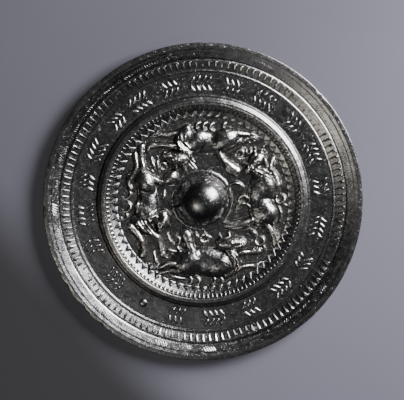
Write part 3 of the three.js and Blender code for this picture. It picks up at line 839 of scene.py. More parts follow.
def patina_group():
    """Colour, roughness and metal of old bronze, from how worn each place is and how much dark film it
    holds; the film is partly real patina and partly painted shade.
    """
    if "Old bronze tones" in bpy.data.node_groups:
        return bpy.data.node_groups["Old bronze tones"]
    inputs = [
        ("Place", "NodeSocketVector", None),
        ("Wear", "NodeSocketFloat", 0.0),
        ("Hollow", "NodeSocketFloat", 0.0),
        ("Bronze", "NodeSocketColor", None),
        ("Worn", "NodeSocketColor", None),
        ("Film", "NodeSocketColor", None),
        ("Earth", "NodeSocketColor", None),
        ("Green", "NodeSocketColor", None),
        ("Base Roughness", "NodeSocketFloat", 0.35),
    ]
    outputs = [
        ("Color", "NodeSocketColor"), ("Roughness", "NodeSocketFloat"),
        ("Metallic", "NodeSocketFloat"),
    ]
    tree, given, result = new_tree("Old bronze tones", "ShaderNodeTree", inputs, outputs)
    place, wear, film_and_shade = given.outputs["Place"], given.outputs["Wear"], given.outputs["Hollow"]
    patches = noise(tree, place, 48.0, 3.0)
    mottle = noise(tree, place, 420.0, 5.0, 0.65)
    specks = noise(tree, place, 1500.0, 3.0, 0.7)
    darker = mixed(tree, ramp(tree, mottle, 0.32, 0.68), given.outputs["Film"], given.outputs["Bronze"])
    toned = mixed(tree, ramp(tree, patches, 0.3, 0.62, 0.6, 1.0), darker, given.outputs["Bronze"])
    # The dark film is partly real patina and partly painted shade, laid where its mask marks recesses,
    # creases and dark-looking places
    film = maths(tree, "MULTIPLY", film_and_shade, ramp(tree, mottle, 0.25, 0.7, 1.0, 0.45), clamp=True)
    filmed = mixed(tree, film, toned, given.outputs["Film"])
    rubbed = maths(tree, "MULTIPLY", wear, ramp(tree, mottle, 0.3, 0.6, 0.25, 1.0), clamp=True)
    brightened = mixed(tree, rubbed, filmed, given.outputs["Worn"])
    deep = maths(tree, "ADD", ramp(tree, film_and_shade, 0.55, 1.0), 0.06)
    caught = maths(tree, "MULTIPLY", ramp(tree, specks, 0.56, 0.68), deep)
    earthed = mixed(tree, maths(tree, "MULTIPLY", caught, 0.45, clamp=True), brightened,
                    given.outputs["Earth"])
    spots = maths(tree, "MULTIPLY", ramp(tree, noise(tree, place, 75.0, 5.0, 0.7), 0.66, 0.74), 0.55)
    greened = mixed(tree, spots, earthed, given.outputs["Green"])
    metal = maths(tree, "SUBTRACT", 1.0, maths(tree, "MULTIPLY", film, 0.10))
    metal = maths(tree, "SUBTRACT", metal, maths(tree, "MULTIPLY", caught, 0.3))
    metal = maths(tree, "SUBTRACT", metal, spots, clamp=True)
    rough = maths(tree, "ADD", given.outputs["Base Roughness"], maths(tree, "MULTIPLY", film, 0.06))
    rough = maths(tree, "ADD", rough, ramp(tree, mottle, 0.3, 0.7, -0.04, 0.05))
    rough = maths(tree, "ADD", rough, maths(tree, "MULTIPLY", caught, 0.25))
    rough = maths(tree, "ADD", rough, maths(tree, "MULTIPLY", spots, 0.5), clamp=True)
    tree.links.new(greened, result.inputs["Color"])
    tree.links.new(rough, result.inputs["Roughness"])
    tree.links.new(metal, result.inputs["Metallic"])
    return tree


def grain_group():
    """Height of the fine grain and pits of a casting, in metres."""
    if "Casting grain" in bpy.data.node_groups:
        return bpy.data.node_groups["Casting grain"]
    inputs = [
        ("Place", "NodeSocketVector", None),
        ("Grain", "NodeSocketFloat", 0.03 * MM),
        ("Pits", "NodeSocketFloat", 0.045 * MM),
    ]
    outputs = [("Height", "NodeSocketFloat")]
    tree, given, result = new_tree("Casting grain", "ShaderNodeTree", inputs, outputs)
    place = given.outputs["Place"]
    fine = maths(tree, "MULTIPLY", noise(tree, place, 2600.0, 3.0, 0.6), given.outputs["Grain"])
    lumps = maths(tree, "MULTIPLY", noise(tree, place, 800.0, 3.0, 0.6), given.outputs["Pits"])
    dents = ramp(tree, noise(tree, place, 1300.0, 2.0, 0.5), 0.24, 0.4, -1.0, 0.0)
    pits = maths(tree, "MULTIPLY", dents, given.outputs["Pits"])
    total = maths(tree, "ADD", maths(tree, "ADD", fine, lumps), pits)
    tree.links.new(total, result.inputs["Height"])
    return tree


def plain_material(name):
    """A material with only its output and one Principled shader, as (material, tree, shader)."""
    material = bpy.data.materials.new(name)
    material.use_nodes = True
    tree = material.node_tree
    tree.nodes.clear()
    shader = tree.nodes.new("ShaderNodeBsdfPrincipled")
    output = tree.nodes.new("ShaderNodeOutputMaterial")
    tree.links.new(shader.outputs[0], output.inputs["Surface"])
    return material, tree, shader


def bronze_material(finish, handled=False):
    """Dark bronze of the relief back, or the smoother bronze of what hands have rubbed."""
    name = "Handled bronze" if handled else "Dark bronze"
    if name in bpy.data.materials:
        return bpy.data.materials[name]
    material, tree, shader = plain_material(name)
    roughness = finish.handled_roughness if handled else finish.roughness
    place = add_node(tree, "ShaderNodeTexCoord").outputs["Object"]
    wear = add_node(tree, "ShaderNodeAttribute", attribute_name="wear").outputs["Fac"]
    # This attribute holds the dark film, partly real patina and partly painted shade
    film_and_shade = add_node(tree, "ShaderNodeAttribute", attribute_name="film_and_shade").outputs["Fac"]
    tones = add_node(tree, "ShaderNodeGroup", {
        "Place": place, "Wear": wear, "Hollow": film_and_shade,
        "Bronze": (*finish.bronze, 1.0), "Worn": (*finish.worn, 1.0),
        "Film": (*finish.film_and_shade, 1.0), "Earth": (*finish.earth, 1.0),
        "Green": (*finish.green, 1.0), "Base Roughness": roughness,
    }, node_tree=patina_group())
    grain = add_node(tree, "ShaderNodeGroup", {"Place": place}, node_tree=grain_group())
    bump = add_node(tree, "ShaderNodeBump", {"Height": grain.outputs["Height"], "Distance": 1.0})
    tree.links.new(tones.outputs["Color"], shader.inputs["Base Color"])
    for label in ("Roughness", "Metallic"):
        tree.links.new(tones.outputs[label], shader.inputs[label])
    tree.links.new(bump.outputs["Normal"], shader.inputs["Normal"])
    return material


def face_material(finish):
    """The polished side: paler bronze, still smooth, with thin films and scratches."""
    material, tree, shader = plain_material("Polished face")
    place = add_node(tree, "ShaderNodeTexCoord").outputs["Object"]
    film = noise(tree, place, 26.0, 5.0, 0.65)
    spots = ramp(tree, noise(tree, place, 110.0, 4.0, 0.7), 0.6, 0.7)
    cloudy = ramp(tree, film, 0.4, 0.64)
    clear = mixed(tree, cloudy, (*finish.polished, 1.0), (*finish.clouded, 1.0))
    spotted = mixed(tree, spots, clear, (*finish.green, 1.0))
    rough = maths(tree, "ADD", ramp(tree, film, 0.4, 0.64, 0.14, 0.34), maths(tree, "MULTIPLY", spots, 0.4))
    stretched = add_node(tree, "ShaderNodeMapping", {"Vector": place, "Scale": (1.0, 9.0, 1.0)})
    scratches = noise(tree, stretched.outputs[0], 240.0, 2.0, 0.5)
    height = maths(tree, "MULTIPLY", scratches, 0.01 * MM)
    bump = add_node(tree, "ShaderNodeBump", {"Height": height, "Distance": 1.0})
    tree.links.new(spotted, shader.inputs["Base Color"])
    tree.links.new(rough, shader.inputs["Roughness"])
    tree.links.new(maths(tree, "SUBTRACT", 0.95, spots, clamp=True), shader.inputs["Metallic"])
    tree.links.new(bump.outputs["Normal"], shader.inputs["Normal"])
    return material


def floor_material(studio):
    """Plain pale paper with painted shade that darkens it in two directions, and a faint glow of its own,
    painted light that lifts its shadows.
    """
    material, tree, shader = plain_material("Studio floor")
    place = add_node(tree, "ShaderNodeTexCoord").outputs["Object"]
    cloud = ramp(tree, noise(tree, place, 9.0, 2.0), 0.3, 0.7)
    paler = tuple(channel * 1.04 for channel in studio.floor)
    colour = mixed(tree, cloud, (*studio.floor, 1.0), (*paler, 1.0))
    # Painted shade: the colour darkens towards each direction, standing in for the light's falloff and the
    # mirror's cast shadow
    for direction, start, end, tone_left in FLOOR_PAINTED_SHADES:
        turn = math.radians(direction)
        along = add_node(tree, "ShaderNodeVectorMath", {
            0: place, 1: (math.cos(turn), math.sin(turn), 0.0),
        }, operation="DOT_PRODUCT").outputs["Value"]
        share = ramp(tree, along, start, end, 0.0, 1.0 - tone_left)
        colour = mixed(tree, share, colour, (0.0, 0.0, 0.0, 1.0))
    tree.links.new(colour, shader.inputs["Base Color"])
    # Painted light: the floor's faint glow of its own lifts its shadows
    shader.inputs["Emission Color"].default_value = FLOOR_GLOW_COLOUR
    shader.inputs["Emission Strength"].default_value = studio.glow
    shader.inputs["Roughness"].default_value = 0.85
    shader.inputs["Specular IOR Level"].default_value = 0.2
    return material


# Repeated teeth and strokes

def socket_of(tree, label):
    """Identifier of a tree's named input."""
    for item in tree.interface.items_tree:
        if item.item_type == "SOCKET" and item.in_out == "INPUT" and item.name == label:
            return item.identifier
    raise KeyError(label)


def realised(name, tree, inputs, points=None):
    """The result of a Geometry Nodes tree as a plain mesh."""
    start = points or bpy.data.meshes.new(name + "_start")
    carrier = new_object(name + "_carrier", start)
    modifier = carrier.modifiers.new("Copies", "NODES")
    modifier.node_group = tree
    for label, value in inputs.items():
        modifier[socket_of(tree, label)] = value
    carrier.update_tag()
    mesh = shaped_mesh(carrier, name)
    carrier.modifiers.remove(modifier)
    bpy.data.objects.remove(carrier)
    if not len(mesh.polygons):
        raise RuntimeError(name + " came out empty")
    return mesh


def copies_on_points(tree, given, result, points, source, rotation, size):
    """Puts a copy of a source on each point, makes the copies real and gives them their material."""
    shape = add_node(tree, "GeometryNodeObjectInfo", {"Object": given.outputs[source]})
    copies = add_node(tree, "GeometryNodeInstanceOnPoints", {
        "Points": points, "Instance": shape.outputs["Geometry"], "Rotation": rotation, "Scale": size,
    })
    joined = add_node(tree, "GeometryNodeRealizeInstances", {"Geometry": copies.outputs[0]})
    coated = add_node(tree, "GeometryNodeSetMaterial", {
        "Geometry": joined.outputs[0], "Material": given.outputs["Material"],
    })
    tree.links.new(coated.outputs[0], result.inputs[0])


def ring_tree():
    """Copies of one tooth round a circle, each a little different in length and height."""
    inputs = [
        ("Tooth", "NodeSocketObject", None),
        ("Count", "NodeSocketInt", 12),
        ("Radius", "NodeSocketFloat", 0.05),
        ("Height", "NodeSocketFloat", 0.0),
        ("Seed", "NodeSocketInt", 0),
        ("Length Variation", "NodeSocketFloat", 0.05),
        ("Height Variation", "NodeSocketFloat", 0.1),
        ("Worn Share", "NodeSocketFloat", 0.3),
        ("Material", "NodeSocketMaterial", None),
    ]
    outputs = [("Geometry", "NodeSocketGeometry")]
    tree, given, result = new_tree("Ring of copies", "GeometryNodeTree", inputs, outputs)
    circle = add_node(tree, "GeometryNodeMeshCircle", {
        "Vertices": given.outputs["Count"], "Radius": given.outputs["Radius"],
    })
    offset = add_node(tree, "ShaderNodeCombineXYZ", {"Z": given.outputs["Height"]})
    placed = add_node(tree, "GeometryNodeTransform", {
        "Geometry": circle.outputs[0], "Translation": offset.outputs[0],
    })
    place = add_node(tree, "GeometryNodeInputPosition").outputs[0]
    outward = add_node(tree, "ShaderNodeVectorMath", {0: place, 1: (1.0, 1.0, 0.0)}, operation="MULTIPLY")
    heading = add_node(tree, "FunctionNodeAlignRotationToVector", {"Vector": outward.outputs[0]},
                       axis="X", pivot_axis="Z")

    def varied(amount, seed_step):
        low = maths(tree, "SUBTRACT", 1.0, amount)
        high = maths(tree, "ADD", 1.0, amount)
        seed = maths(tree, "ADD", given.outputs["Seed"], seed_step)
        values = {2: low, 3: high, "Seed": seed}
        return add_node(tree, "FunctionNodeRandomValue", values, data_type="FLOAT").outputs[1]

    patches = noise(tree, place, 46.0, 3.0)
    lowest = maths(tree, "SUBTRACT", 1.0, given.outputs["Worn Share"])
    kept = add_node(tree, "ShaderNodeMapRange", {
        "Value": patches, "From Min": 0.38, "From Max": 0.6, "To Min": lowest, "To Max": 1.0,
    }).outputs[0]
    rise = maths(tree, "MULTIPLY", kept, varied(given.outputs["Height Variation"], 1))
    size = add_node(tree, "ShaderNodeCombineXYZ", {
        "X": varied(given.outputs["Length Variation"], 2),
        "Y": varied(given.outputs["Length Variation"], 3), "Z": rise,
    })
    copies_on_points(
        tree, given, result, placed.outputs[0], "Tooth", heading.outputs[0], size.outputs[0]
    )
    return tree


def stroke_tree():
    """A copy of one stroke on each point, turned by its heading and stretched to its length."""
    inputs = [
        ("Geometry", "NodeSocketGeometry", None),
        ("Stroke", "NodeSocketObject", None),
        ("Seed", "NodeSocketInt", 0),
        ("Material", "NodeSocketMaterial", None),
    ]
    outputs = [("Geometry", "NodeSocketGeometry")]
    tree, given, result = new_tree("Strokes on points", "GeometryNodeTree", inputs, outputs)
    heading = add_node(tree, "GeometryNodeInputNamedAttribute", {"Name": "heading"}).outputs[0]
    stretch = add_node(tree, "GeometryNodeInputNamedAttribute", {"Name": "stretch"}).outputs[0]
    turn = add_node(tree, "ShaderNodeCombineXYZ", {"Z": heading})
    rise = add_node(tree, "FunctionNodeRandomValue", {2: 0.75, 3: 1.0, "Seed": given.outputs["Seed"]},
                    data_type="FLOAT").outputs[1]
    size = add_node(tree, "ShaderNodeCombineXYZ", {"X": stretch, "Y": 1.0, "Z": rise})
    copies_on_points(
        tree, given, result, given.outputs["Geometry"], "Stroke", turn.outputs[0], size.outputs[0]
    )
    return tree


def mirrored(edge):
    """A whole outline from its right-hand edge, given from root to tip."""
    return edge + [(along, -aside) for along, aside in reversed(edge) if aside]


def tooth_object(name, outlines, rise, slope=0.0, inset=0.3, root=0.5 * MM, rounded=False):
    """A source for copies: outlines raised with bevelled or rounded shoulders, on a slope along X."""
    vertices, faces = [], []
    for outline in outlines:
        shape = np.array(outline)
        middle = shape.mean(axis=0)
        levels = [(1.0, -root), (1.0, rise * 0.35), (1 - inset * 0.4, rise * 0.8), (1 - inset, rise)]
        if rounded:
            levels = [
                (1.0, -root), (1.0, rise * 0.1), (0.78, rise * 0.55), (0.48, rise * 0.86), (0.15, rise),
            ]
        count = len(shape)
        first = len(vertices)
        for share, level in levels:
            ring = middle + (shape - middle) * share
            vertices += [(px, py, level + slope * px) for px, py in ring]
        faces.append([first + step for step in reversed(range(count))])
        for tier in range(len(levels) - 1):
            low, high = first + tier * count, first + (tier + 1) * count
            for step in range(count):
                ahead = (step + 1) % count
                faces.append([low + step, low + ahead, high + ahead, high + step])
        top = first + (len(levels) - 1) * count
        faces.append([top + step for step in range(count)])
    return new_object(name, new_mesh(name, vertices, faces))


def settle_copies(mesh, sizes, seed, rise, shine=0.6):
    """Moves copies with the uneven ground under them, marks their tops as worn, and lays dark film at their
    roots, partly painted shade.
    """
    places = vertex_vectors(mesh, "co")
    radius = np.hypot(places[:, 0], places[:, 1])
    above = (places[:, 2] - back_height(sizes, radius)) / rise
    places[:, 2] += casting_unevenness(places[:, 0], places[:, 1], seed)
    move_vertices(mesh, places)
    set_values(mesh, "wear", shine * share_above(above, 0.55, 1.6))
    # Partly painted shade: dark film on the low parts of each copy, where it meets the ground
    set_values(mesh, "film_and_shade", share_above(-above, -0.35, 1.8))


def make_ring(context, name, outlines, rise, radius, settings):
    """One ring of teeth as a finished piece."""
    sizes, pattern = context.scene.mirror_section, context.scene.mirror_pattern
    slope = settings.get("slope", 0.0)
    source = tooth_object(name + "_source", outlines, rise, slope, settings.get("inset", 0.3), 1.0 * MM)
    material = bronze_material(context.scene.mirror_finish)
    mesh = realised(name, ring_tree(), {
        "Tooth": source, "Count": settings["count"], "Radius": radius,
        "Height": settings.get("height", float(back_height(sizes, radius))),
        "Seed": pattern.seed + settings.get("seed", 0),
        "Length Variation": settings.get("length_variation", 0.05),
        "Height Variation": settings.get("height_variation", 0.1),
        "Worn Share": settings.get("worn", 0.3), "Material": material,
    })
    bpy.data.objects.remove(source)
    settle_copies(mesh, sizes, pattern.seed, rise, settings.get("shine", 0.6))
    finish_piece(mesh, name, material, sharp_angle=60)


# Operators, one for each group of pieces

class MirrorOperator:
    """What the builders share."""

    bl_options = {"REGISTER", "UNDO"}


class MIRROR_OT_relief_field(MirrorOperator, Operator):
    """Build the round field with its four running beasts, clouds and the ring round the knob"""

    bl_idname = "mirror.relief_field"
    bl_label = "Relief field"

    row_step = 0.285 * MM
    columns = 960

    # Inside this radius every second column is left out
    thinned_radius = 27 * MM

    # Figures fade out this near to the edge, and their tops have a coarse unevenness of this height
    edge_fade = 1.2 * MM
    coarse_height = 0.16 * MM

    def execute(self, context):
        sizes, pattern = context.scene.mirror_section, context.scene.mirror_pattern
        inner = sizes.knob_radius - 1.3 * MM
        outer = sizes.field_radius + 0.1 * MM
        radii = np.linspace(inner, outer, round((outer - inner) / self.row_step) + 1)
        angles = full_circle(self.columns)
        x, y = np.outer(radii, np.cos(angles)), np.outer(radii, np.sin(angles))
        ground = ReliefGround(x, y, sizes.field_height + casting_unevenness(x, y, pattern.seed))
        carve_seat_ring(ground, sizes)
        carve_clouds(ground, sizes)
        for beast in BEASTS:
            carve_beast(ground, sizes, beast)
        edge = np.clip((outer - radii) / self.edge_fade, 0, 1)[:, None]
        raised = (ground.height - ground.plain) * edge * edge * (3 - 2 * edge)
        coarse = value_noise(x, y, 0.9 * MM, pattern.seed + 31) - 0.5
        heights = ground.plain + raised
        heights += self.coarse_height * coarse * np.clip(raised / (1.5 * MM), 0, 1)
        stands_out = wear_of_grid(heights, 5) / MM
        wear = share_above(stands_out, 0.12, 1.3)
        # Partly painted shade: dark film laid in the recesses round the beasts and clouds, where shade
        # falls; the noise on the next line adds real patches of film
        film_and_shade = share_above(-stands_out, 0.06, 2.6)
        film_and_shade = np.maximum(film_and_shade, 0.5 * value_noise(x, y, 2.4 * MM, pattern.seed + 33))
        rings, wears, hollows = [], [], []
        for row, radius in enumerate(radii):
            picked = slice(None, None, 2 if radius < self.thinned_radius else 1)
            rings.append(np.column_stack([x[row, picked], y[row, picked], heights[row, picked]]))
            wears.append(wear[row, picked])
            hollows.append(film_and_shade[row, picked])
        material = bronze_material(context.scene.mirror_finish)
        closed_piece("relief_field", rings, wears, hollows, (outer, inner), material)
        return {"FINISHED"}


class MIRROR_OT_ring_mouldings(MirrorOperator, Operator):
    """Build the slopes, crest, band floor and thin ridge between the field and the rim"""

    bl_idname = "mirror.ring_mouldings"
    bl_label = "Ring mouldings"

    columns = 720

    # Corners behind the crest: way out from the peak or the foot, and drop below the crest, in millimetres.
    # A groove, then an even slope with one fine line across it.
    groove_corners = ((0, 0), (0.5, 0.35), (1.35, 0.15))
    slope_corners = ((-1.5, 0.9), (-1.4, 1.05), (-1, 0.9), (-0.5, 1.5))

    def execute(self, context):
        sizes, pattern = context.scene.mirror_section, context.scene.mirror_pattern
        section = section_points(sizes)
        ridge, ridge_top = section["ridge_line"]
        half = sizes.ridge_line_width / 2
        groove, groove_height = section["rim_groove"]
        slope_end = section["slope_top"][0]
        bend, bend_height = section["slope_bend"]
        foot = section["band_start"][0]
        crest = sizes.crest_height
        peak = slope_end + 0.5 * MM
        shoulder = [(peak + out * MM, crest - drop * MM) for out, drop in self.groove_corners]
        shoulder += [(foot + out * MM, crest - drop * MM) for out, drop in self.slope_corners]
        corners = [
            (sizes.field_radius - SLIVER, sizes.field_height - 0.2 * MM),
            (sizes.field_radius + 0.15 * MM, sizes.slope_foot),
            (bend, bend_height), (bend + 1.2 * MM, bend_height + 0.75 * MM),
            (slope_end - 0.55 * MM, bend_height + 0.95 * MM), (slope_end - 0.3 * MM, sizes.slope_top),
            *shoulder, (foot - SLIVER, sizes.band_height), section["band_end"],
            (ridge - half * 0.55, ridge_top), (ridge, ridge_top - 0.35 * MM),
            (ridge + half * 0.5, ridge_top), section["comb_foot"], section["comb_top"],
            (groove, groove_height), (groove + 0.15 * MM, groove_height + SLIVER),
        ]
        path = rounded_path(corners, 0.3 * MM, 0.3 * MM)
        angles = full_circle(self.columns)
        x, y = np.outer(path[:, 0], np.cos(angles)), np.outer(path[:, 0], np.sin(angles))
        heights = path[:, 1:] + casting_unevenness(x, y, pattern.seed)
        stands_out = wear_of_grid(heights, 4) / MM
        wear = share_above(stands_out, 0.12, 1.2, most=0.25)
        # Partly painted shade: dark film laid in the recesses of the mouldings
        film_and_shade = share_above(-stands_out, 0.03, 3.5)
        film_and_shade = np.maximum(film_and_shade, 0.25 * value_noise(x, y, 3 * MM, pattern.seed + 9))
        out = path[:, :1]
        # Painted shade: fixed bands of dark film in the gaps between the fine bars, on the comb slope
        # between the teeth, and over the crest and its outer slope
        shade_among_bars = (out > bend + 0.3 * MM) & (out < bend + 2.8 * MM)
        shade_among_comb = (out > section["comb_foot"][0] + 0.5 * MM) & (out < section["comb_top"][0] - 0.3 * MM)
        shade_about_crest = (out > slope_end - 0.3 * MM) & (out < foot)
        film_and_shade = np.maximum(film_and_shade, 0.9 * shade_among_bars + 0.25 * shade_among_comb + 0.5 * shade_about_crest)
        rings = [np.column_stack(row) for row in zip(x, y, heights)]
        material = bronze_material(context.scene.mirror_finish)
        closed_piece("ring_mouldings", rings, list(wear), list(film_and_shade), (path[-1, 0], path[0, 0]), material)
        return {"FINISHED"}


class MIRROR_OT_rim_and_face(MirrorOperator, Operator):
    """Build the raised rim with its chips, the outer wall and the polished face below"""

    bl_idname = "mirror.rim_and_face"
    bl_label = "Rim and face"

    columns = 960

    # Chips of the rim: direction and span in degrees, depth in millimetres
    chips = (
        (5, 3, 0.5), (44, 1.5, 0.4), (85, 4, 0.7), (128, 3, 0.9), (147, 3, 0.8), (165, 2, 0.6),
        (182, 3, 0.8), (203, 4, 0.9), (212, 3, 1.0), (221, 4, 1.0), (231, 4, 0.8), (252, 2, 0.5),
        (274, 2, 0.4), (307, 3, 0.8), (322, 1.5, 0.4), (335, 3, 0.7),
    )

    # Steps of the bevel: thirds of its width, thirds of its climb, and a dip in millimetres
    bevel_steps = ((0.4, 0, 0.12), (1, 1, 0), (1.4, 1, 0.1), (2, 2, 0), (2.35, 2, 0.08))

    # Floor of the buried inside, and the flat face's rings: radius in metres and number of points
    buried_floor = 0.6 * MM
    face_rings = ((0.072, 480), (0.048, 240), (0.024, 120), (0.008, 40), (0, 1))

    # Share of painted shade, laid as dark film colour, on the plain top, outside of the bevel
    top_painted_shade = 0.54

    def execute(self, context):
        sizes, pattern = context.scene.mirror_section, context.scene.mirror_pattern
        section = section_points(sizes)
        groove, groove_height = section["rim_groove"]
        border, border_top = section["border_top"]
        rim, rim_top = section["rim"]
        face = MIRROR_RADIUS - sizes.face_inset
        third = sizes.bevel_width / 3
        climb = (rim_top - border_top) / 3
        bevel = [
            (border + third * out, border_top + climb * up - dip * MM)
            for out, up, dip in self.bevel_steps
        ]
        corners = [
            (groove - 0.15 * MM, 0.9 * MM), (groove - 0.15 * MM, groove_height - SLIVER),
            (groove, groove_height), section["border_foot"], (border, border_top), *bevel,
            (rim, rim_top), section["edge"], (face + SLIVER, 0.35 * MM),
        ]
        path = rounded_path(corners, 0.24 * MM, 0.24 * MM)
        reach = path[:, 0].max()
        path[:, 0] += (MIRROR_RADIUS - reach) * np.clip((path[:, 0] - rim) / (reach - rim), 0, 1)
        angles = full_circle(self.columns)
        radii, turns = np.meshgrid(path[:, 0], angles, indexing="ij")
        x, y = radii * np.cos(turns), radii * np.sin(turns)
        free = np.clip(path[:, 1:] / (1.2 * MM) - 0.5, 0, 1)
        heights = path[:, 1:] + casting_unevenness(x, y, pattern.seed) * free * 0.6
        lost = np.zeros(radii.shape)
        for direction, span, depth in self.chips:
            away = np.degrees(np.angle(np.exp(1j * (turns - math.radians(direction)))))
            lost = np.maximum(lost, 0.55 * depth * MM * np.clip(1 - (away / span) ** 2, 0, 1))
        ragged = value_noise(x, y, 1.3 * MM, pattern.seed + 21)
        nicks = np.clip(value_noise(x, y, 2.6 * MM, pattern.seed + 22) - 0.82, 0, 1) * 1.4 * MM
        top = np.clip(1 - (MIRROR_RADIUS - radii) / (1.6 * MM), 0, 1) * free
        heights = heights - (lost * (0.2 + 0.8 * ragged) + nicks) * top
        upper = np.clip((heights - 2 * MM) / (5 * MM), 0, 1) * top
        radii = np.minimum(radii - (lost * ragged + nicks) * 0.6 * upper, MIRROR_RADIUS)
        x, y = radii * np.cos(turns), radii * np.sin(turns)
        stands_out = wear_of_grid(heights, 4) / MM
        wear = share_above(stands_out, 0.08, 1.5, most=0.2) * (radii < rim)
        # Partly painted shade: dark film in the recesses of the border and bevel; the next line lays painted
        # shade over the rim's top and outer wall
        film_and_shade = share_above(-stands_out, 0.03, 3.5) * (radii < rim)
        film_and_shade = np.maximum(film_and_shade, self.top_painted_shade * (radii > rim - 0.6 * MM))
        rings = [
            circle_points(0, self.buried_floor, 1),
            circle_points(sizes.field_radius, self.buried_floor, BURIED_POINTS),
            circle_points(path[0, 0] - 0.3 * MM, self.buried_floor, 240),
        ]
        buried = sum(len(ring) for ring in rings)
        rings += [np.column_stack(row) for row in zip(x, y, heights)]
        rings.append(circle_points(face - SLIVER, 0.08 * MM, self.columns))
        rings.append(circle_points(face - 0.3 * MM, 0.0, self.columns))
        rings += [circle_points(radius, 0.0, count) for radius, count in self.face_rings]
        total = sum(len(ring) for ring in rings)
        below = total - buried - wear.size
        mesh = ring_mesh("rim_and_face", rings, closed=False)
        set_values(mesh, "wear", np.concatenate([np.zeros(buried), wear.ravel(), np.zeros(below)]))
        set_values(mesh, "film_and_shade", np.concatenate([np.ones(buried), film_and_shade.ravel(), np.zeros(below)]))
        finish = context.scene.mirror_finish
        mesh.materials.append(bronze_material(finish))
        mesh.materials.append(face_material(finish))
        normals = np.empty(len(mesh.polygons) * 3)
        mesh.polygons.foreach_get("normal", normals)
        faces_down = (normals.reshape(-1, 3)[:, 2] < -0.5).astype(np.int32)
        mesh.polygons.foreach_set("material_index", faces_down)
        finish_piece(mesh, "rim_and_face", bronze_material(finish), sharp_angle=40)
        return {"FINISHED"}


class MIRROR_OT_cord_knob(MirrorOperator, Operator):
    """Build the domed knob with the arched hole for its cord"""

    bl_idname = "mirror.cord_knob"
    bl_label = "Cord knob"

    voxel = 0.25 * MM
    dome_columns = 128
    dome_tiers = 40
    sunk = 1.2 * MM

    # The rough side of the dome: its middle and half its spread in degrees, and where it starts
    rough_middle = 78
    rough_spread = 95
    rough_start = 0.66

    # How deep the grit of the rough side and the soft dips of the whole knob are
    grit_depth = 0.34 * MM
    dip_depth = 0.10 * MM

    def dome(self, sizes):
        """The solid dome, standing in the field."""
        rise = KNOB_TOP - sizes.field_height
        radius = (sizes.knob_radius ** 2 + rise ** 2) / (2 * rise)
        sweep = math.asin(min(1.0, sizes.knob_radius / radius))
        bottom = sizes.field_height - self.sunk
        rings = [circle_points(0, bottom, 1)]
        rings.append(circle_points(sizes.knob_radius - 0.6 * MM, bottom, self.dome_columns))
        for share in np.linspace(1, 0.02, self.dome_tiers):
            angle = sweep * share
            height = KNOB_TOP - radius * (1 - math.cos(angle))
            rings.append(circle_points(radius * math.sin(angle), height, self.dome_columns))
        rings.append(circle_points(0, KNOB_TOP, 1))
        return ring_mesh("knob_dome", rings, closed=False)

    def passage(self, sizes):
        """The arched bar that is cut away for the cord."""
        half = sizes.cord_hole_width / 2
        spring = sizes.cord_hole_height - half
        outline = [(-half, 0.0), (half, 0.0)]
        outline += [
            (half * math.cos(turn), spring + half * math.sin(turn))
            for turn in np.linspace(0, math.pi, 25)
        ]
        floor = sizes.field_height + sizes.cord_hole_sill
        reach = sizes.knob_radius + 4 * MM
        vertices = [(side * reach, y, floor + z) for side in (-1, 1) for y, z in outline]
        count = len(outline)
        faces = [list(reversed(range(count))), [count + step for step in range(count)]]
        for step in range(count):
            ahead = (step + 1) % count
            faces.append([step, ahead, count + ahead, count + step])
        return new_mesh("knob_passage", vertices, faces)

    def execute(self, context):
        sizes, pattern = context.scene.mirror_section, context.scene.mirror_pattern
        dome = new_object("knob_dome", self.dome(sizes))
        passage = new_object("knob_passage", self.passage(sizes))
        cut = dome.modifiers.new("Passage", "BOOLEAN")
        cut.operation = "DIFFERENCE"
        cut.solver = "EXACT"
        cut.object = passage
        even = dome.modifiers.new("Even", "REMESH")
        even.mode = "VOXEL"
        even.voxel_size = self.voxel
        soft = dome.modifiers.new("Soft", "SMOOTH")
        soft.factor = 0.5
        soft.iterations = 6
        mesh = shaped_mesh(dome, "cord_knob")
        bpy.data.objects.remove(dome)
        bpy.data.objects.remove(passage)
        if len(mesh.vertices) < self.dome_columns * self.dome_tiers:
            raise RuntimeError("the knob came out empty")
        places, normals = vertex_vectors(mesh, "co"), vertex_vectors(mesh, "normal")
        x, y, z = places.T
        turn = np.degrees(np.arctan2(y, x))
        away = np.hypot(x, y) / sizes.knob_radius
        side = np.clip(1 - np.abs((turn - self.rough_middle) / self.rough_spread) ** 4, 0, 1)
        rough = side * np.clip((away - self.rough_start) / 0.14, 0, 1) * (normals[:, 2] > 0.05)
        rough = np.maximum(rough, 0.35 * np.clip((away - 0.86) / 0.1, 0, 1))
        grit = value_noise(x + z, y - z, 0.75 * MM, pattern.seed + 31)
        grit += 0.6 * value_noise(x - z, y + z, 0.42 * MM, pattern.seed + 32)
        dips = value_noise(x + z, y, 3.5 * MM, pattern.seed + 33)
        worn_in = self.grit_depth * rough * grit + self.dip_depth * dips
        places -= normals * worn_in[:, None]
        places[:, 0] += sizes.knob_shift_x
        places[:, 1] += sizes.knob_shift_y
        places[:, 2] += KNOB_TOP - places[:, 2].max()
        move_vertices(mesh, places)
        # Painted shade: dark film laid round the knob's foot, where it meets the field; the grit term adds
        # real film on the rough side
        foot = np.clip(1 - (z - sizes.field_height) / (1.5 * MM), 0, 1)
        set_values(mesh, "wear", np.clip(0.55 * rough * (1.2 - grit), 0, 1))
        set_values(mesh, "film_and_shade", np.clip(foot + 0.5 * rough * (grit - 0.5), 0, 1))
        finish_piece(mesh, "cord_knob", bronze_material(context.scene.mirror_finish, handled=True))
        return {"FINISHED"}


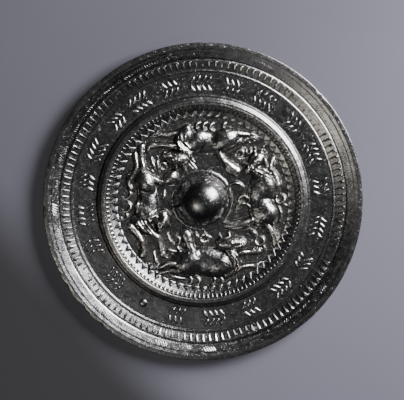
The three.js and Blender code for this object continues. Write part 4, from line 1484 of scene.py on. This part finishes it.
class MIRROR_OT_teeth(MirrorOperator, Operator):
    """Build the zigzag teeth and fine bars round the field, and the long comb teeth by the rim"""

    bl_idname = "mirror.teeth"
    bl_label = "Teeth"

    def execute(self, context):
        sizes, pattern = context.scene.mirror_section, context.scene.mirror_pattern
        section = section_points(sizes)
        foot = sizes.field_radius
        half = math.pi * foot / pattern.zigzag_count * 1.02
        reach = pattern.zigzag_length
        triangle = mirrored([
            (-0.5 * MM, -half), (0.0, -half), (reach * 0.93, -half * 0.08), (reach, 0.0),
        ])
        make_ring(context, "zigzag_teeth", [triangle], pattern.zigzag_rise, foot, {
            "count": pattern.zigzag_count, "slope": 0.41, "inset": 0.14, "worn": 0.1, "seed": 1,
            "height": sizes.field_height, "shine": 0.2,
        })
        start, bend_height = section["slope_bend"]
        slope = (sizes.slope_top - bend_height) / (section["slope_top"][0] - start)
        wide = 0.58 * math.pi * start / pattern.bar_count
        bar = mirrored([(0.0, -wide * 0.7), (pattern.bar_length, -wide)])
        make_ring(context, "fine_bars", [bar], pattern.bar_rise, start + 0.25 * MM, {
            "count": pattern.bar_count, "slope": slope, "inset": 0.35, "worn": 0.3, "seed": 4,
            "shine": 0.5,
        })
        comb_start = section["comb_foot"][0] + 0.3 * MM
        slope = (sizes.comb_top - sizes.comb_foot) / sizes.comb_slope_width
        reach = pattern.comb_length
        wide = 0.52 * math.pi * (comb_start + reach) / pattern.comb_count
        tooth = mirrored([
            (0.0, -wide * 0.22), (reach * 0.62, -wide * 0.86), (reach * 0.93, -wide), (reach, -wide * 0.7),
        ])
        make_ring(context, "comb_teeth", [tooth], pattern.comb_rise, comb_start, {
            "count": pattern.comb_count, "slope": slope, "inset": 0.3, "worn": 0.5, "seed": 7,
        })
        return {"FINISHED"}


class MIRROR_OT_hatched_border(MirrorOperator, Operator):
    """Build the border of hatched strokes that lean one way and then the other"""

    bl_idname = "mirror.hatched_border"
    bl_label = "Hatched border"

    # Strokes of a pair of fans, how far they lean over their length, and half their width
    stroke_count = 10
    lean = 0.55
    half_width = 0.26 * MM

    def execute(self, context):
        sizes, pattern = context.scene.mirror_section, context.scene.mirror_pattern
        section = section_points(sizes)
        start = section["border_foot"][0] + 0.5 * MM
        reach = sizes.border_width - 0.9 * MM
        pair = 2 * math.pi * (start + reach / 2) / pattern.hatch_count
        outlines = []
        wide = self.half_width
        for step in range(self.stroke_count):
            middle = (step + 0.5) * pair / self.stroke_count - pair / 2
            lean = (self.lean if step < self.stroke_count / 2 else -self.lean) * reach
            low, high = middle - lean / 2, middle + lean / 2
            outlines.append([
                (0.0, low - wide), (reach, high - wide), (reach, high + wide), (0.0, low + wide),
            ])
        slope = (sizes.border_top - sizes.border_foot) / sizes.border_width
        make_ring(context, "hatched_border", outlines, pattern.hatch_rise, start, {
            "count": pattern.hatch_count, "slope": slope, "inset": 0.25, "worn": 0.7, "seed": 11,
            "length_variation": 0.02,
        })
        return {"FINISHED"}


class MIRROR_OT_band_strokes(MirrorOperator, Operator):
    """Build the groups of plain slanted strokes on the band, and the round dot between them"""

    bl_idname = "mirror.band_strokes"
    bl_label = "Band strokes"

    directions = (
        7, 24, 41, 59, 76, 91, 106, 122.5, 136.5, 154, 170, 186, 202, 221, 257, 275.5, 294, 312,
        328.5, 347,
    )
    dot_direction = 239.5
    rows = 2
    row_gap = 4.9 * MM
    column_gap = 3.1 * MM
    stroke_length = 5.2 * MM
    stroke_width = 1.6 * MM
    lean = 32.0
    lean_spread = 5.0
    stretch_range = (0.85, 1.05)
    fewest_columns = 3
    dot_radius = 2.3 * MM
    dot_rise = 0.86 * MM
    dot_shoulder = 0.85 * MM
    dot_columns = 40

    def execute(self, context):
        sizes, pattern = context.scene.mirror_section, context.scene.mirror_pattern
        section = section_points(sizes)
        middle = (section["band_start"][0] + section["band_end"][0]) / 2
        chance = np.random.default_rng(pattern.seed + 40)
        places, headings, stretches = [], [], []
        for number, direction in enumerate(self.directions):
            columns = self.fewest_columns + number % 2
            for row in range(self.rows):
                for column in range(columns):
                    out = middle + (row - (self.rows - 1) / 2) * self.row_gap
                    along = (column - (columns - 1) / 2) * self.column_gap
                    turn = math.radians(direction) + along / out
                    leaning = self.lean if (row + number) % 2 else -self.lean
                    places.append((out * math.cos(turn), out * math.sin(turn), sizes.band_height))
                    leaning += chance.uniform(-self.lean_spread, self.lean_spread)
                    headings.append(turn + math.radians(leaning))
                    stretches.append(chance.uniform(*self.stretch_range))
        points = new_mesh("stroke_points", places, [])
        set_values(points, "heading", headings)
        set_values(points, "stretch", stretches)
        half, wide = self.stroke_length / 2, self.stroke_width / 2
        outline = mirrored([
            (-half, -wide * 0.5), (-half * 0.7, -wide), (half * 0.8, -wide * 0.8), (half, 0.0),
        ])
        source = tooth_object("stroke_source", [outline], pattern.stroke_rise, rounded=True)
        material = bronze_material(context.scene.mirror_finish)
        mesh = realised("band_strokes", stroke_tree(), {
            "Stroke": source, "Seed": pattern.seed, "Material": material,
        }, points)
        bpy.data.objects.remove(source)
        settle_copies(mesh, sizes, pattern.seed, pattern.stroke_rise, 1.0)
        finish_piece(mesh, "band_strokes", material, sharp_angle=60)
        self.make_dot(context, middle)
        return {"FINISHED"}

    def make_dot(self, context, middle):
        """The low round dot that stands between two groups."""
        sizes, pattern = context.scene.mirror_section, context.scene.mirror_pattern
        turn = math.radians(self.dot_direction)
        centre = np.array([middle * math.cos(turn), middle * math.sin(turn), sizes.band_height])
        rings = [circle_points(0, -BURIED_HEIGHT, 1)]
        rings.append(circle_points(self.dot_radius, -BURIED_HEIGHT, self.dot_columns))
        for share in np.linspace(0, 0.94, 9):
            level = self.dot_shoulder * math.sin(share * math.pi / 2) ** 1.2
            radius = self.dot_radius * math.cos(share * math.pi / 2) ** 0.8
            rings.append(circle_points(radius, level, self.dot_columns))
        rings.append(circle_points(0, self.dot_rise, 1))
        mesh = ring_mesh("band_dot", [ring + centre for ring in rings], closed=False)
        settle_copies(mesh, sizes, pattern.seed, self.dot_rise)
        finish_piece(mesh, "band_dot", bronze_material(context.scene.mirror_finish))


class MIRROR_OT_studio(MirrorOperator, Operator):
    """Build the plain floor, the soft lights and the camera at the photograph's angle"""

    bl_idname = "mirror.studio"
    bl_label = "Studio"

    # How wide the photograph's frame is at the mirror, and where its middle falls
    frame_width = 227.25 * MM
    aim = (-0.7 * MM, 1.3 * MM, 6.0 * MM)

    floor_reach = 1.5
    film_width = 36.0
    sky_colour = (0.86, 0.88, 1.0, 1.0)

    def add_light(self, name, power, colour, width, turn, climb, distance):
        """A square area light that looks at the mirror. Turn and climb are in degrees."""
        data = bpy.data.lights.new(name, "AREA")
        data.energy = power
        data.color = colour
        data.size = width
        light = new_object(name, data)
        turn, climb = math.radians(turn), math.radians(climb)
        away = Vector((
            math.cos(climb) * math.cos(turn), math.cos(climb) * math.sin(turn), math.sin(climb),
        ))
        light.location = away * distance
        light.rotation_euler = away.to_track_quat("Z", "Y").to_euler()

    def execute(self, context):
        studio = context.scene.mirror_studio
        reach = self.floor_reach
        floor = new_mesh(
            "studio_floor",
            [(-reach, -reach, 0), (reach, -reach, 0), (reach, reach, 0), (-reach, reach, 0)],
            [(0, 1, 2, 3)],
        )
        floor.materials.append(floor_material(studio))
        sheet = new_object("studio_floor", floor)
        self.add_light(
            "key_light", studio.key_power, (1.0, 0.985, 0.97), width=0.40, turn=36, climb=36, distance=0.70
        )
        self.add_light(
            "warm_light", studio.fill_power, (1.0, 0.93, 0.76), width=0.16, turn=226, climb=55, distance=0.70
        )
        self.add_light(
            "soft_light", studio.soft_power, (1.0, 1.0, 1.0), width=0.25, turn=240, climb=60, distance=0.45
        )
        world = bpy.data.worlds.new("studio_air")
        world.use_nodes = True
        background = world.node_tree.nodes["Background"]
        background.inputs["Color"].default_value = self.sky_colour
        background.inputs["Strength"].default_value = studio.sky
        context.scene.world = world
        data = bpy.data.cameras.new("photo_camera")
        data.sensor_width = self.film_width
        data.lens = self.film_width * studio.lens_distance / self.frame_width
        data.clip_start = 0.05
        data.clip_end = 20.0
        camera = new_object("photo_camera", data)
        tilt, side = studio.camera_tilt, studio.camera_side
        back = Vector((
            math.sin(tilt) * math.cos(side), math.sin(tilt) * math.sin(side), math.cos(tilt),
        ))
        right = Vector((0, 1, 0)).cross(back).normalized()
        up = back.cross(right)
        place = Vector(self.aim) + back * studio.lens_distance
        camera.matrix_world = Matrix((
            (right.x, up.x, back.x, place.x), (right.y, up.y, back.y, place.y),
            (right.z, up.z, back.z, place.z), (0, 0, 0, 1),
        ))
        context.scene.camera = camera
        return {"FINISHED"}


class MIRROR_PT_panel(Panel):
    """The mirror's builders and sizes"""

    bl_label = "Bronze mirror"
    bl_idname = "MIRROR_PT_panel"
    bl_space_type = "VIEW_3D"
    bl_region_type = "UI"
    bl_category = "Mirror"

    def draw(self, context):
        for builder in BUILDERS:
            self.layout.operator(builder.bl_idname, text=builder.bl_label)
        for group in ("mirror_section", "mirror_pattern", "mirror_finish", "mirror_studio"):
            holder = getattr(context.scene, group)
            box = self.layout.box()
            for key in holder.__annotations__:
                box.prop(holder, key)


BUILDERS = (
    MIRROR_OT_studio,
    MIRROR_OT_relief_field,
    MIRROR_OT_ring_mouldings,
    MIRROR_OT_rim_and_face,
    MIRROR_OT_cord_knob,
    MIRROR_OT_teeth,
    MIRROR_OT_hatched_border,
    MIRROR_OT_band_strokes,
)
GROUPS = {
    "mirror_section": MirrorSectionSizes,
    "mirror_pattern": MirrorPatternSizes,
    "mirror_finish": MirrorFinish,
    "mirror_studio": MirrorStudio,
}


def register():
    """Registers the groups, the builders and the panel."""
    for name, group in GROUPS.items():
        bpy.utils.register_class(group)
        setattr(bpy.types.Scene, name, PointerProperty(type=group))
    for builder in (*BUILDERS, MIRROR_PT_panel):
        bpy.utils.register_class(builder)


def unregister():
    """Removes what register added."""
    for builder in (MIRROR_PT_panel, *reversed(BUILDERS)):
        bpy.utils.unregister_class(builder)
    for name, group in GROUPS.items():
        delattr(bpy.types.Scene, name)
        bpy.utils.unregister_class(group)


def main():
    """Builds every piece and the studio."""
    register()
    bpy.ops.mirror.studio()
    bpy.ops.mirror.relief_field()
    bpy.ops.mirror.ring_mouldings()
    bpy.ops.mirror.rim_and_face()
    bpy.ops.mirror.cord_knob()
    bpy.ops.mirror.teeth()
    bpy.ops.mirror.hatched_border()
    bpy.ops.mirror.band_strokes()


if __name__ == "__main__":
    main()
